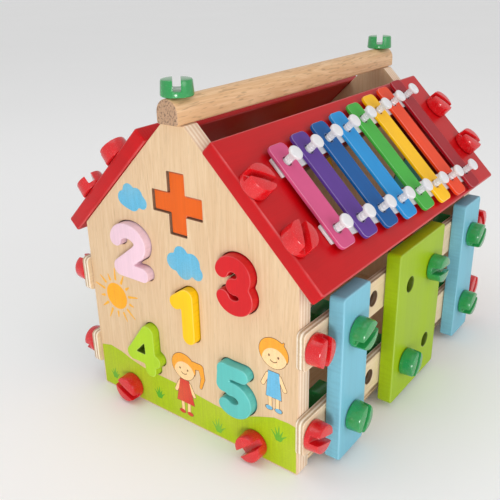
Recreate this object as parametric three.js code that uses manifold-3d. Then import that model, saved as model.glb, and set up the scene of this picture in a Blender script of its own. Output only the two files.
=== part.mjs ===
// Wooden activity house: a shape sorter that a child bolts together from flat boards.
//
// Two gable walls stand on a floor board, and everything else is bolted to their edges: four rails
// with upright boards, two roof boards and a ridge handle. The gables hold loose number pieces in
// cut-outs of the same outline, and the right roof board carries a chime of eight metal bars.
//
// Millimetres. X runs across the gables, Y from the front gable to the back one, Z up, with the
// origin on the ground at the middle of the house. Flat work is drawn in wall frames: a runs to the
// right and b upwards as a person facing the wall sees it, and c points out of the wall.

import * as THREE from 'three';
import { mergeVertices } from 'three/addons/utils/BufferGeometryUtils.js';
import Module from 'manifold-3d';

const wasm = await Module();
wasm.setup();

// ---------------------------------------------------------------- driving dimensions

const GAP = 0.3; // left between faces that touch
const GABLE = { width: 160, thickness: 11, face: 118.5, apex: 16 };
const ROOF = { pitch: 44.7, eaveX: 95, eaveZ: 118.7, slope: 96, length: 240, thickness: 9.5 };
const FLOOR = { thickness: 12, bottom: 3.5, halfWidth: 79.7 };
const RAIL = { length: 243, height: 23, thickness: 5, levels: [28.5, 83.5], corner: 3, spareHole: 46 };
const BOARD = { height: 105, middle: 56, thickness: 9.5, corner: 2.5 };
const BLUE_BOARD = { width: 29, offset: 84.5 };
const LIME_BOARD = { width: 66, holeOffset: 16 };
const HANDLE = { length: 244, width: 15, height: 13.6, corner: 1.5 };

const HEAD = { radius: 9, topRadius: 8.5, rimRadius: 7.7, side: 8.1, height: 9.2, slot: 4.4, slotDepth: 6 };
const NUT = { radius: 12, thickness: 11 };
const SHANK = { edge: 3.2, through: 4 }; // radii: screwed into an edge, or through to a nut
const BORE = { edge: 3.9, through: 4.9 };
const SHANK_LENGTH = { roof: 17.5, rail: 21, foot: 27, ridge: 27 };
const NUT_TAIL = 2; // the thread past the nut
const BOLT_Y = GABLE.face - GABLE.thickness / 2; // every edge bolt is in the middle of a gable
const ROOF_BOLTS = [30.5, 65.4]; // up the slope from the eave
const FOOT_BOLT = { x: 50.5, z: 9.5 };

const PIECE = { pen: 4.7, clearance: 0.55, proud: 5, inset: 0.5, flushProud: -1.2 };
const CHIME = {
  bars: 8, first: -83, pitch: 23, middle: 47.4, width: 15, thickness: 2.2, corner: 3.5,
  halfShort: 33.5, halfLong: 47, pinShort: 22.2, pinLong: 33.5,
};
const STRIP = { width: 12, thickness: 1.8, overhang: 8 };
const PIN = { shank: 2.3, head: 4.3, headThickness: 2, height: 12.8, hole: 3 };
const WINDOW = { from: -84, to: 56, margin: 1.5, corner: 4 };

const PITCH = THREE.MathUtils.degToRad(ROOF.pitch);
const SIDES = { bore: 8, shank: 6, head: 12, pin: 8 };

// ---------------------------------------------------------------- finishes

const FINISH = {
  wood: { color: 0xeed2ab, roughness: 0.6 },
  rail: { color: 0xf3e1c6, roughness: 0.6 },
  handle: { color: 0xe0bd8c, roughness: 0.55 },
  redPaint: { color: 0xd4202e, roughness: 0.4 },
  bluePaint: { color: 0x8cc6d2, roughness: 0.45 },
  limePaint: { color: 0xa9c21c, roughness: 0.45 },
  orangePaint: { color: 0xf07a22, roughness: 0.45 },
  yellowPaint: { color: 0xf8d70c, roughness: 0.45 },
  pinkPaint: { color: 0xf1d0dc, roughness: 0.45 },
  turquoisePaint: { color: 0x76cbc6, roughness: 0.45 },
  redPlastic: { color: 0xd92a2e, roughness: 0.25 },
  greenPlastic: { color: 0x45a45c, roughness: 0.25 },
  whitePlastic: { color: 0xeeeef0, roughness: 0.4 },
};
const BAR_COLOURS = [0xe2648f, 0x694796, 0x1464a5, 0x329fd8, 0x56b94b, 0xfcc80a, 0xee5528, 0xaf182d];

// ---------------------------------------------------------------- solids from three.js shapes

/** A closed three.js geometry as a manifold solid. */
function solid(geometry) {
  const bare = geometry.clone();
  bare.deleteAttribute('normal');
  bare.deleteAttribute('uv');
  const merged = mergeVertices(bare, 1e-4);
  const index = merged.index.array;
  const faces = [];
  for (let i = 0; i < index.length; i += 3) {
    const [a, b, c] = [index[i], index[i + 1], index[i + 2]];
    if (a !== b && b !== c && c !== a) faces.push(a, b, c);
  }
  return new wasm.Manifold(new wasm.Mesh({
    numProp: 3,
    vertProperties: new Float32Array(merged.attributes.position.array),
    triVerts: new Uint32Array(faces),
  }));
}

/** A manifold solid as a geometry for a mesh. */
function geometryOf(body) {
  const mesh = body.getMesh();
  const geometry = new THREE.BufferGeometry();
  geometry.setAttribute('position', new THREE.BufferAttribute(mesh.vertProperties, mesh.numProp));
  geometry.setIndex(new THREE.BufferAttribute(mesh.triVerts, 1));
  return geometry;
}

/** A shape in the (a, b) plane made solid between two levels of c. */
function plate(shape, from, to, curveSegments = 6) {
  const geometry = new THREE.ExtrudeGeometry(shape, { depth: to - from, bevelEnabled: false, curveSegments });
  return solid(geometry.translate(0, 0, from));
}

/** A solid turned about an axis through `at`, from a profile of [radius, height] pairs. */
function turned(profile, at, axis, sides) {
  const geometry = new THREE.LatheGeometry(profile.map(([r, h]) => new THREE.Vector2(r, h)), sides);
  const turn = new THREE.Quaternion().setFromUnitVectors(new THREE.Vector3(0, 1, 0), axis.clone().normalize());
  geometry.applyQuaternion(turn);
  geometry.translate(at.x, at.y, at.z);
  return solid(geometry);
}

/** A round rod from `at`, along `axis`. */
function rod(radius, length, at, axis, sides) {
  return turned([[0, 0], [radius, 0], [radius, length], [0, length]], at, axis, sides);
}

const vec = (a, b, c) => new THREE.Vector3(a, b, c);
const join = (solids) => solids.reduce((all, next) => all.add(next));
const cut = (body, tools) => tools.reduce((left, tool) => left.subtract(tool), body);
const OUT = vec(0, 0, 1); // out of a wall, in its own frame

/** A rectangle with round corners, centred on (a, b). */
function roundedRectangle(width, height, radius, a = 0, b = 0) {
  const shape = new THREE.Shape();
  const [x, y] = [width / 2 - radius, height / 2 - radius];
  shape.absarc(a + x, b + y, radius, 0, Math.PI / 2);
  shape.absarc(a - x, b + y, radius, Math.PI / 2, Math.PI);
  shape.absarc(a - x, b - y, radius, Math.PI, Math.PI * 1.5);
  shape.absarc(a + x, b - y, radius, Math.PI * 1.5, Math.PI * 2);
  shape.closePath();
  return shape;
}

// ---------------------------------------------------------------- wall frames

/** Gable wall: c = 0 on its inner face. End is -1 for the front and 1 for the back. */
function gableFrame(end) {
  return new THREE.Matrix4()
    .makeBasis(vec(-end, 0, 0), vec(0, 0, 1), vec(0, end, 0))
    .setPosition(0, end * (GABLE.face - GABLE.thickness), 0);
}

/** Side wall: c is the distance from the middle of the house. Side is 1 for the right, -1 for the left. */
function sideFrame(side) {
  return new THREE.Matrix4().makeBasis(vec(0, side, 0), vec(0, 0, 1), vec(side, 0, 0));
}

/** Roof board: b runs up the slope from the eave, and c = 0 on the outer face. */
function roofFrame(side) {
  const up = vec(-side * Math.cos(PITCH), 0, Math.sin(PITCH));
  const out = vec(side * Math.sin(PITCH), 0, Math.cos(PITCH));
  return new THREE.Matrix4()
    .makeBasis(vec(0, side, 0), up, out)
    .setPosition(side * ROOF.eaveX, 0, ROOF.eaveZ);
}

// ---------------------------------------------------------------- the group

const house = new THREE.Group();

/** Adds a named piece, drawn in a wall frame, to the house. */
function add(name, body, finish, frame = new THREE.Matrix4()) {
  const material = new THREE.MeshStandardMaterial({ metalness: 0, ...finish });
  const mesh = new THREE.Mesh(geometryOf(body), material);
  mesh.name = name;
  mesh.applyMatrix4(frame);
  house.add(mesh);
}

// ---------------------------------------------------------------- bolts

/** A big-headed toy bolt whose head sits on `seat` and points out; `slotAngle` turns its slot, in degrees. */
function bolt(seat, shankRadius, shankLength, slotAngle, nutAt = null) {
  const profile = [
    [0, 0], [HEAD.radius, 0], [HEAD.topRadius, HEAD.side], [HEAD.rimRadius, HEAD.height], [0, HEAD.height],
  ];
  const y = vec(0, 1, 0);
  const slot = new THREE.BoxGeometry(HEAD.radius * 3, HEAD.slotDepth * 2, HEAD.slot)
    .rotateY(THREE.MathUtils.degToRad(slotAngle)).translate(0, HEAD.height, 0);
  const shank = rod(shankRadius, shankLength + 1, vec(0, -shankLength, 0), y, SIDES.shank);
  let body = cut(turned(profile, vec(0, 0, 0), y, SIDES.head).add(shank), [solid(slot)]);
  if (nutAt !== null) {
    body = body.add(rod(NUT.radius, NUT.thickness, vec(0, -nutAt - NUT.thickness, 0), y, 6));
  }
  const turn = new THREE.Quaternion().setFromUnitVectors(y, OUT);
  const place = new THREE.Matrix4().compose(seat, turn, vec(1, 1, 1));
  return solid(geometryOf(body).applyMatrix4(place));
}

// Each slot stops where its bolt was tightened to: degrees from level, in its own wall, by place.
const SLOTS = {
  rail: { lower_front: 160, upper_front: 79, lower_back: 60, upper_back: 120 },
  blue_front: [63, 19],
  lime: [65, 174],
  blue_back: [30, 40],
  roof: { lower_front: 56, upper_front: 144, lower_back: 130, upper_back: 124 },
  foot: { left: 154, right: 42 },
  ridge: { front: 133, back: 117 },
};

// ---------------------------------------------------------------- number pieces

/** A pen stroke: a run of points thickened by `radius`, with round ends, or a ring if it meets itself. */
function stroke(path, radius) {
  const ring = path.curves.some((curve) => curve.isEllipseCurve && curve.aEndAngle - curve.aStartAngle > 6);
  const divisions = ring ? 16 : 7;
  const points = path.curves.flatMap((curve) => curve.getPoints(curve.isLineCurve ? 1 : divisions));
  const last = points.length - 1;
  const heading = (i) => {
    const before = points[ring && i === 0 ? last - 1 : Math.max(i - 1, 0)];
    const after = points[ring && i === last ? 1 : Math.min(i + 1, last)];
    return Math.atan2(after.y - before.y, after.x - before.x);
  };
  const side = (i, turn) => new THREE.Vector2(
    points[i].x + radius * Math.cos(heading(i) + turn), points[i].y + radius * Math.sin(heading(i) + turn));
  const shape = new THREE.Shape();
  if (ring) {
    const rim = (turn) => points.slice(1).map((_, i) => side(i, turn));
    shape.setFromPoints(rim(-Math.PI / 2));
    shape.holes.push(new THREE.Path(rim(Math.PI / 2)));
    return shape;
  }
  const outline = points.map((_, i) => side(i, -Math.PI / 2));
  for (let k = 1; k < divisions; k += 1) outline.push(side(last, Math.PI * (k / divisions - 0.5)));
  for (let i = last; i >= 0; i -= 1) outline.push(side(i, Math.PI / 2));
  for (let k = 1; k < divisions; k += 1) outline.push(side(0, Math.PI * (k / divisions + 0.5)));
  shape.setFromPoints(outline);
  return shape;
}

const line = (...points) => {
  const path = new THREE.Path();
  path.moveTo(...points[0]);
  points.slice(1).forEach((point) => path.lineTo(...point));
  return path;
};
const arc = (x, y, rx, ry, from, to) => {
  const path = new THREE.Path();
  const [start, end] = [THREE.MathUtils.degToRad(from), THREE.MathUtils.degToRad(to)];
  path.absellipse(x, y, rx, ry, start, end, to < from);
  return path;
};

// Pen strokes of each piece about its own middle; a piece is about 35 tall.
const GLYPHS = {
  1: () => [line([-6.4, 7.6], [0.5, 12.4]), line([2.3, 13], [2.3, -13.4])],
  2: () => [arc(-0.1, 5.6, 10.2, 7.4, 175, -34), line([8.4, 1.5], [-8.8, -11.6]), line([-8.8, -13], [10.4, -13])],
  3: () => [arc(-0.6, 6.3, 7.5, 6.6, 165, -90), arc(0, -6.5, 7.9, 6.4, 90, -165)],
  4: () => [line([4.2, 13.3], [-9.7, -5.6]), line([-9.7, -5.6], [9.8, -5.6]), line([5.4, 13.3], [5.4, -13.3])],
  5: () => [line([6.3, 12.9], [-6.5, 12.9]), line([-6.5, 12.9], [-7.6, 2.6]), arc(-0.3, -5.6, 8.5, 7.3, 105, -135)],
  6: () => [arc(0, -4.4, 9.4, 8.6, 0, 360), arc(4.4, -2.2, 13.8, 15.2, 180, 100)],
  7: () => [line([-9.6, 13], [9.8, 13]), line([9.8, 13], [-1.6, -13.2])],
  8: () => [arc(0, 6.6, 8, 6.8, 0, 360), arc(0, -6.2, 9.6, 7.2, 0, 360)],
  9: () => [arc(0, 4.4, 9.4, 8.6, 0, 360), arc(-4.4, 2.2, 13.8, 15.2, 0, -80)],
};

// The strokes of a 4 leave no eye of their own, so it is sawn out of the piece.
const EYE_OF_4 = [[-5.7, -2.8], [1.6, -2.8], [1.4, 4.7]];

const PLUS = { arm: 17.9, width: 11.6 };

/** The outline of a piece between two levels of c; `ease` widens it for its cut-out. */
function pieceBody(sign, a, b, from, to, ease = 0) {
  if (sign === 'plus') {
    const [long, wide] = [2 * (PLUS.arm + ease), PLUS.width + 2 * ease];
    const arms = [[long, wide], [wide, long]].map(([w, h]) => plate(roundedRectangle(w, h, 0.8, a, b), from, to, 2));
    return join(arms);
  }
  const strokes = GLYPHS[sign]().map((path) => plate(stroke(path, PIECE.pen + ease), from, to));
  let body = join(strokes);
  if (sign === '4' && ease === 0) {
    const eye = new THREE.Shape(EYE_OF_4.map((point) => new THREE.Vector2(...point)));
    body = cut(body, [plate(eye, from - 1, to + 1)]);
  }
  return solid(geometryOf(body).translate(a, b, 0));
}

// Where each piece sits on its gable, with its finish.
const FRONT_PIECES = [
  { sign: 'plus', a: -0.5, b: 146.6, finish: FINISH.orangePaint },
  { sign: '1', a: 4.3, b: 80.6, finish: FINISH.yellowPaint },
  { sign: '2', a: -38.4, b: 111, finish: FINISH.pinkPaint },
  { sign: '3', a: 41.6, b: 110.7, finish: FINISH.redPaint },
  { sign: '4', a: -33.6, b: 44.8, finish: FINISH.limePaint },
  { sign: '5', a: 38.7, b: 42.2, finish: FINISH.turquoisePaint },
];
const BACK_PIECES = [
  { sign: '6', a: -36, b: 108, finish: FINISH.turquoisePaint },
  { sign: '7', a: 36, b: 108, finish: FINISH.yellowPaint },
  { sign: '8', a: -36, b: 46, finish: FINISH.orangePaint },
  { sign: '9', a: 36, b: 46, finish: FINISH.limePaint },
];

const pieceFront = (sign) => GABLE.thickness + (sign === 'plus' ? PIECE.flushProud : PIECE.proud);

// ---------------------------------------------------------------- gables and floor

/** The gable outline: a house end with a small flat top under the handle. */
function gableShape() {
  const half = GABLE.width / 2;
  const underside = ROOF.eaveZ - (ROOF.thickness + GAP) / Math.cos(PITCH);
  const height = (x) => underside + (ROOF.eaveX - x) * Math.tan(PITCH);
  const shape = new THREE.Shape();
  shape.moveTo(-half, 0);
  [[half, 0], [half, height(half)], [GABLE.apex / 2, height(GABLE.apex / 2)],
    [-GABLE.apex / 2, height(GABLE.apex / 2)], [-half, height(half)]].forEach((p) => shape.lineTo(...p));
  return { shape, apexZ: height(GABLE.apex / 2) };
}

const { shape: gableOutline, apexZ: APEX_Z } = gableShape();

/** Where a roof bolt stands in a gable's own plane, and which way it points. */
function roofBoltLine(side, up) {
  return {
    foot: vec(
      side * (ROOF.eaveX - up * Math.cos(PITCH)), ROOF.eaveZ + up * Math.sin(PITCH), GABLE.thickness / 2),
    axis: vec(side * Math.sin(PITCH), Math.cos(PITCH), 0),
  };
}

/** Holes for the bolts in a gable's edges and for the two foot bolts through it. */
function gableBores() {
  const middle = GABLE.thickness / 2;
  const bores = [rod(BORE.edge, 40, vec(0, APEX_Z - 16, middle), vec(0, 1, 0), SIDES.bore)];
  for (const side of [-1, 1]) {
    for (const up of ROOF_BOLTS) {
      const { foot, axis } = roofBoltLine(side, up);
      const start = foot.addScaledVector(axis, -SHANK_LENGTH.roof - 1);
      bores.push(rod(BORE.edge, SHANK_LENGTH.roof, start, axis, SIDES.bore));
    }
    for (const level of RAIL.levels) {
      const start = vec(side * (GABLE.width / 2 - 17), level, middle);
      bores.push(rod(BORE.edge, 30, start, vec(side, 0, 0), SIDES.bore));
    }
    bores.push(rod(BORE.edge, 3 * GABLE.thickness, vec(side * FOOT_BOLT.x, FOOT_BOLT.z, -GABLE.thickness), OUT,
      SIDES.bore));
  }
  return bores;
}

/** A gable with its bolt holes and one cut-out for each piece; the eye of a 4 or an 8 drops out with it. */
function gable(pieces) {
  const cutouts = pieces.map(({ sign, a, b }) => pieceBody(sign, a, b, -1, GABLE.thickness + 1, PIECE.clearance));
  const sawn = cut(plate(gableOutline, 0, GABLE.thickness), [...gableBores(), ...cutouts]).decompose();
  return sawn.reduce((wall, offcut) => (offcut.volume() > wall.volume() ? offcut : wall));
}

add('gable_front', gable(FRONT_PIECES), FINISH.wood, gableFrame(-1));
add('gable_back', gable(BACK_PIECES), FINISH.wood, gableFrame(1));

/** The floor board, held by the foot bolts in its two ends. */
function floorBoard() {
  const length = 2 * (GABLE.face - GABLE.thickness - GAP);
  const slab = new THREE.BoxGeometry(2 * FLOOR.halfWidth, length, FLOOR.thickness)
    .translate(0, 0, FLOOR.bottom + FLOOR.thickness / 2);
  const bores = [];
  for (const end of [-1, 1]) {
    for (const side of [-1, 1]) {
      const start = vec(side * FOOT_BOLT.x, end * (length / 2 - 17), FLOOR.bottom + FLOOR.thickness / 2);
      bores.push(rod(BORE.edge, 20, start, vec(0, end, 0), SIDES.bore));
    }
  }
  return cut(solid(slab), bores);
}

add('floor_board', floorBoard(), FINISH.wood);

// ---------------------------------------------------------------- rails and upright boards

/** A rail with a hole for each bolt that passes it, and two spare ones. */
function rail(level) {
  const inner = GABLE.width / 2 + GAP;
  const bores = [];
  for (const end of [-1, 1]) {
    const holes = [
      [BOLT_Y, BORE.edge], [BLUE_BOARD.offset, BORE.through], [RAIL.spareHole, BORE.through],
      [LIME_BOARD.holeOffset, BORE.through],
    ];
    holes.forEach(([a, radius]) => bores.push(rod(radius, 20, vec(end * a, level, inner - 5), OUT, SIDES.bore)));
  }
  const strip = roundedRectangle(RAIL.length, RAIL.height, RAIL.corner, 0, level);
  return cut(plate(strip, inner, inner + RAIL.thickness, 3), bores);
}

const BOARD_INNER = GABLE.width / 2 + RAIL.thickness + 2 * GAP;
const BOARD_SEAT = BOARD_INNER + BOARD.thickness + GAP;

/** An upright board across both rails, with holes at the given places along the wall. */
function uprightBoard(width, offset, holes) {
  const outline = roundedRectangle(width, BOARD.height, BOARD.corner, offset, BOARD.middle);
  const bores = holes.flatMap((a) => RAIL.levels.map((level) => (
    rod(BORE.through, 30, vec(a, level, BOARD_INNER - 10), OUT, SIDES.bore))));
  return cut(plate(outline, BOARD_INNER, BOARD_INNER + BOARD.thickness, 3), bores);
}

/** A bolt with its nut on the far side of the rail. */
function boardBolt(a, level, slotAngle) {
  const grip = BOARD_SEAT - GABLE.width / 2; // from under the head to the rail's inner face
  return bolt(vec(a, level, BOARD_SEAT), SHANK.through, grip + NUT.thickness + NUT_TAIL, slotAngle, grip);
}

// Boards from left to right on a wall, with the bolt at each level.
const BOARDS = [
  { name: 'blue_front', width: BLUE_BOARD.width, offset: -BLUE_BOARD.offset, holes: [-BLUE_BOARD.offset],
    bolts: [-BLUE_BOARD.offset, -BLUE_BOARD.offset], finish: FINISH.bluePaint },
  { name: 'lime', width: LIME_BOARD.width, offset: 0, holes: [-LIME_BOARD.holeOffset, LIME_BOARD.holeOffset],
    bolts: [-LIME_BOARD.holeOffset, LIME_BOARD.holeOffset], finish: FINISH.limePaint },
  { name: 'blue_back', width: BLUE_BOARD.width, offset: BLUE_BOARD.offset, holes: [BLUE_BOARD.offset],
    bolts: [BLUE_BOARD.offset, BLUE_BOARD.offset], finish: FINISH.bluePaint },
];
const LEVEL_NAMES = ['lower', 'upper'];

for (const side of [1, -1]) {
  const wall = side > 0 ? 'right' : 'left';
  const frame = sideFrame(side);
  RAIL.levels.forEach((level, i) => {
    add(`rail_${wall}_${LEVEL_NAMES[i]}`, rail(level), FINISH.rail, frame);
    for (const end of [-1, 1]) {
      const place = `${LEVEL_NAMES[i]}_${end * side < 0 ? 'front' : 'back'}`;
      const seat = vec(end * BOLT_Y, level, GABLE.width / 2 + RAIL.thickness + 2 * GAP);
      const body = bolt(seat, SHANK.edge, SHANK_LENGTH.rail, SLOTS.rail[place]);
      add(`bolt_rail_${wall}_${place}`, body, FINISH.redPlastic, frame);
    }
  });
  for (const { name, width, offset, holes, bolts, finish } of BOARDS) {
    const place = side > 0 ? offset : -offset;
    const marks = side > 0 ? bolts : bolts.map((a) => -a);
    const board = uprightBoard(width, place, side > 0 ? holes : holes.map((a) => -a));
    const fasteners = marks.map((a, i) => boardBolt(a, RAIL.levels[i], SLOTS[name][i]));
    if (side > 0) {
      add(`board_${wall}_${name}`, board, finish, frame);
      fasteners.forEach((body, i) => {
        add(`bolt_board_${wall}_${name}_${LEVEL_NAMES[i]}`, body, FINISH.greenPlastic, frame);
      });
    } else {
      // On this wall each board and its two bolts are one piece: the shanks fill the holes.
      const plugs = marks.map((a, i) => (
        rod(BORE.through + 0.5, BOARD.thickness - 2, vec(a, RAIL.levels[i], BOARD_INNER + 1), OUT, SIDES.bore)));
      const collars = marks.map((a, i) => (
        rod(SHANK.through, 2, vec(a, RAIL.levels[i], BOARD_SEAT - 1), OUT, SIDES.shank)));
      add(`board_${wall}_${name}_bolted`, join([board, ...fasteners, ...plugs, ...collars]), finish, frame);
    }
  }
}

// ---------------------------------------------------------------- number pieces

/** Adds the loose pieces of one gable. */
function addPieces(pieces, end) {
  for (const { sign, a, b, finish } of pieces) {
    add(`piece_${sign}`, pieceBody(sign, a, b, PIECE.inset, pieceFront(sign)), finish, gableFrame(end));
  }
}

addPieces(FRONT_PIECES, -1);
addPieces(BACK_PIECES, 1);

// ---------------------------------------------------------------- roof and chime

/** How far a bar's pins stand from the bars' common middle, at a place along the ridge. */
const pinOffset = (a) => CHIME.pinShort
  + ((CHIME.pinLong - CHIME.pinShort) * (a - CHIME.first)) / (CHIME.pitch * (CHIME.bars - 1));

const barPlace = (i) => CHIME.first + CHIME.pitch * i;

/** The opening under the bars: it widens with them and keeps clear of the rest strips. */
function windowShape() {
  const reach = (a) => pinOffset(a) - STRIP.width / 2 - WINDOW.margin;
  const corners = [
    [WINDOW.from, -reach(WINDOW.from)], [WINDOW.to, -reach(WINDOW.to)],
    [WINDOW.to, reach(WINDOW.to)], [WINDOW.from, reach(WINDOW.from)],
  ];
  const shape = new THREE.Shape();
  corners.forEach(([a, b]) => {
    const [toA, toB] = [Math.sign(corners[0][0] + corners[1][0] - 2 * a), -Math.sign(b)];
    const near = [[a, CHIME.middle + b + toB * WINDOW.corner], [a + toA * WINDOW.corner, CHIME.middle + b]];
    const ordered = toA * toB > 0 ? near : near.reverse();
    if (shape.curves.length === 0 && shape.currentPoint.lengthSq() === 0) shape.moveTo(...ordered[0]);
    else shape.lineTo(...ordered[0]);
    shape.quadraticCurveTo(a, CHIME.middle + b, ...ordered[1]);
  });
  shape.closePath();
  return shape;
}

/** A roof board with its bolt holes; the right one has the chime's opening. */
function roofBoard(open) {
  const outline = roundedRectangle(ROOF.length, ROOF.slope, 1.5, 0, ROOF.slope / 2);
  const board = plate(outline, -ROOF.thickness, 0, 2);
  const bores = [-1, 1].flatMap((end) => ROOF_BOLTS.map((up) => (
    rod(BORE.edge, 30, vec(end * BOLT_Y, up, -20), OUT, SIDES.bore))));
  if (open) bores.push(plate(windowShape(), -20, 10, 3));
  return cut(board, bores);
}

/** The four bolts that hold a roof board, by name. */
function roofBolts(side) {
  const bolts = {};
  [-1, 1].forEach((end) => ROOF_BOLTS.forEach((up, i) => {
    const key = `${LEVEL_NAMES[i]}_${end * side < 0 ? 'front' : 'back'}`;
    const seat = vec(end * BOLT_Y, up, GAP);
    bolts[key] = bolt(seat, SHANK.edge, SHANK_LENGTH.roof, SLOTS.roof[key]);
  }));
  return bolts;
}

add('roof_board_right', roofBoard(true), FINISH.redPaint, roofFrame(1));
for (const [key, body] of Object.entries(roofBolts(1))) {
  add(`bolt_roof_right_${key}`, body, FINISH.redPlastic, roofFrame(1));
}

// On the left the board and its four bolts are one piece: the shanks fill the holes.
const leftPlugs = [-1, 1].flatMap((end) => ROOF_BOLTS.map((up) => (
  rod(BORE.edge + 0.5, ROOF.thickness - 2, vec(end * BOLT_Y, up, 1 - ROOF.thickness), OUT, SIDES.bore))));
const leftRoof = join([roofBoard(false), ...Object.values(roofBolts(-1)), ...leftPlugs]);
add('roof_board_left_bolted', leftRoof, FINISH.redPaint, roofFrame(-1));

/** A row of pins standing on its rest strip; row is 1 for the upper one and -1 for the lower one. */
function pinRow(row) {
  const ends = [CHIME.first - STRIP.overhang, barPlace(CHIME.bars - 1) + STRIP.overhang];
  const edge = (a, half) => [a, CHIME.middle + row * pinOffset(a) + half];
  const strip = new THREE.Shape();
  strip.moveTo(...edge(ends[0], -STRIP.width / 2));
  strip.lineTo(...edge(ends[1], -STRIP.width / 2));
  strip.lineTo(...edge(ends[1], STRIP.width / 2));
  strip.lineTo(...edge(ends[0], STRIP.width / 2));
  const pins = Array.from({ length: CHIME.bars }, (_, i) => {
    const profile = [
      [0, 1], [PIN.shank, 1], [PIN.shank, PIN.height - PIN.headThickness],
      [PIN.head, PIN.height - PIN.headThickness], [PIN.head, PIN.height], [0, PIN.height],
    ];
    const at = vec(barPlace(i), CHIME.middle + row * pinOffset(barPlace(i)), 0);
    return turned(profile, at, OUT, SIDES.pin);
  });
  return join([plate(strip, GAP, GAP + STRIP.thickness), ...pins]);
}

add('chime_pins_upper', pinRow(1), FINISH.whitePlastic, roofFrame(1));
add('chime_pins_lower', pinRow(-1), FINISH.whitePlastic, roofFrame(1));

/** A chime bar with a hole over each of its two pins. */
function chimeBar(i) {
  const half = THREE.MathUtils.lerp(CHIME.halfShort, CHIME.halfLong, i / (CHIME.bars - 1));
  const bottom = 2 * GAP + STRIP.thickness;
  const outline = roundedRectangle(CHIME.width, 2 * half, CHIME.corner, barPlace(i), CHIME.middle);
  const holes = [-1, 1].map((row) => (
    rod(PIN.hole, 10, vec(barPlace(i), CHIME.middle + row * pinOffset(barPlace(i)), 0), OUT, SIDES.pin)));
  return cut(plate(outline, bottom, bottom + CHIME.thickness, 3), holes);
}

BAR_COLOURS.forEach((color, i) => {
  add(`chime_bar_${i + 1}`, chimeBar(i), { color, roughness: 0.35, metalness: 0.4 }, roofFrame(1));
});

// ---------------------------------------------------------------- handle, ridge and foot bolts

/** The ridge handle: flat below, round above, with a hole over each gable. */
function ridgeHandle() {
  const [half, corner] = [HANDLE.width / 2, HANDLE.corner];
  const shape = new THREE.Shape();
  shape.moveTo(corner - half, 0);
  shape.lineTo(half - corner, 0);
  shape.absarc(half - corner, corner, corner, -Math.PI / 2, 0);
  shape.absarc(0, HANDLE.height - half, half, 0, Math.PI);
  shape.absarc(corner - half, corner, corner, Math.PI, Math.PI * 1.5);
  const bar = plate(shape, -HANDLE.length / 2, HANDLE.length / 2, 8);
  const bores = [-1, 1].map((end) => rod(BORE.edge, 40, vec(0, -10, end * BOLT_Y), vec(0, 1, 0), SIDES.bore));
  return cut(bar, bores);
}

const HANDLE_BOTTOM = APEX_Z + GAP;
const handleFrame = gableFrame(-1).setPosition(0, 0, HANDLE_BOTTOM);
add('ridge_handle', ridgeHandle(), FINISH.handle, handleFrame);

for (const end of [-1, 1]) {
  const place = end < 0 ? 'front' : 'back';
  const top = vec(0, end * BOLT_Y, HANDLE_BOTTOM + HANDLE.height + GAP);
  add(`bolt_ridge_${place}`, bolt(top, SHANK.edge, SHANK_LENGTH.ridge, SLOTS.ridge[place]), FINISH.greenPlastic);
  for (const side of [-1, 1]) {
    const seat = vec(side * FOOT_BOLT.x, FOOT_BOLT.z, GABLE.thickness + GAP);
    const hand = side * -end > 0 ? 'right' : 'left';
    const body = bolt(seat, SHANK.edge, SHANK_LENGTH.foot, SLOTS.foot[hand]);
    add(`bolt_foot_${place}_${hand}`, body, FINISH.redPlastic, gableFrame(end));
  }
}

export default house;
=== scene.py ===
"""Wooden activity house: a shape sorter of bolted boards, with a chime on its roof.

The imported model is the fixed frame, and each of its nodes is replaced here by a finer piece in the
same place. Flat work is drawn in millimetres in a wall's own frame, u to the right, v upwards and w
out of the wall, and is moved into the house's frame, in metres, as its mesh is made.
"""

import logging
import math
from dataclasses import dataclass, field
from enum import Enum
from typing import Callable, ClassVar, Dict, List, Optional, Sequence, Tuple, Union

import bpy
import numpy as np
from mathutils import Matrix, Vector
from mathutils.geometry import tessellate_polygon


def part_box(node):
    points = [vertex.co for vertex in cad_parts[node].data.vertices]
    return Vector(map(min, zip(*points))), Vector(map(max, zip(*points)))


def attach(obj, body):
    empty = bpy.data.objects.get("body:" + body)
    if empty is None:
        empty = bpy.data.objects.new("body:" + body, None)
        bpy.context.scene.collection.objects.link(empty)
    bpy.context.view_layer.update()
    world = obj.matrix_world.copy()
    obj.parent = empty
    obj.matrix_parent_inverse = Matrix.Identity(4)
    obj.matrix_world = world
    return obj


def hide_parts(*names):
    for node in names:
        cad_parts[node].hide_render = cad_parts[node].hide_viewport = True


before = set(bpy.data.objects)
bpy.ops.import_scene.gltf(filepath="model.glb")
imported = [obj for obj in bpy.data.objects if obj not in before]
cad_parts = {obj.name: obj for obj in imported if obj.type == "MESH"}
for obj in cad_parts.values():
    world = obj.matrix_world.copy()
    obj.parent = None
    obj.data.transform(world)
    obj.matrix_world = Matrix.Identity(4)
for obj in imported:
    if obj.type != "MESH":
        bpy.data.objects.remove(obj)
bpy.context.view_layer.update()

MM = 0.001
log = logging.getLogger("house")

Loop = np.ndarray
Field = Callable[[np.ndarray, np.ndarray], np.ndarray]
Colour = Tuple[float, float, float]
Point = Tuple[float, float]
Socket = bpy.types.NodeSocket
Value = Union[Socket, float]
Tint = Union[Socket, Colour]


# ---------------------------------------------------------------- outlines


def circle(u: float, v: float, radius: float, sides: int = 40) -> Loop:
    """A circle as a counter-clockwise loop."""
    turn = np.linspace(0, 2 * math.pi, sides, endpoint=False)
    return np.stack([u + radius * np.cos(turn), v + radius * np.sin(turn)], 1)


def hole(u: float, v: float, radius: float, sides: int = 40) -> Loop:
    """A round hole: a circle with its material outside."""
    return circle(u, v, radius, sides)[::-1]


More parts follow.
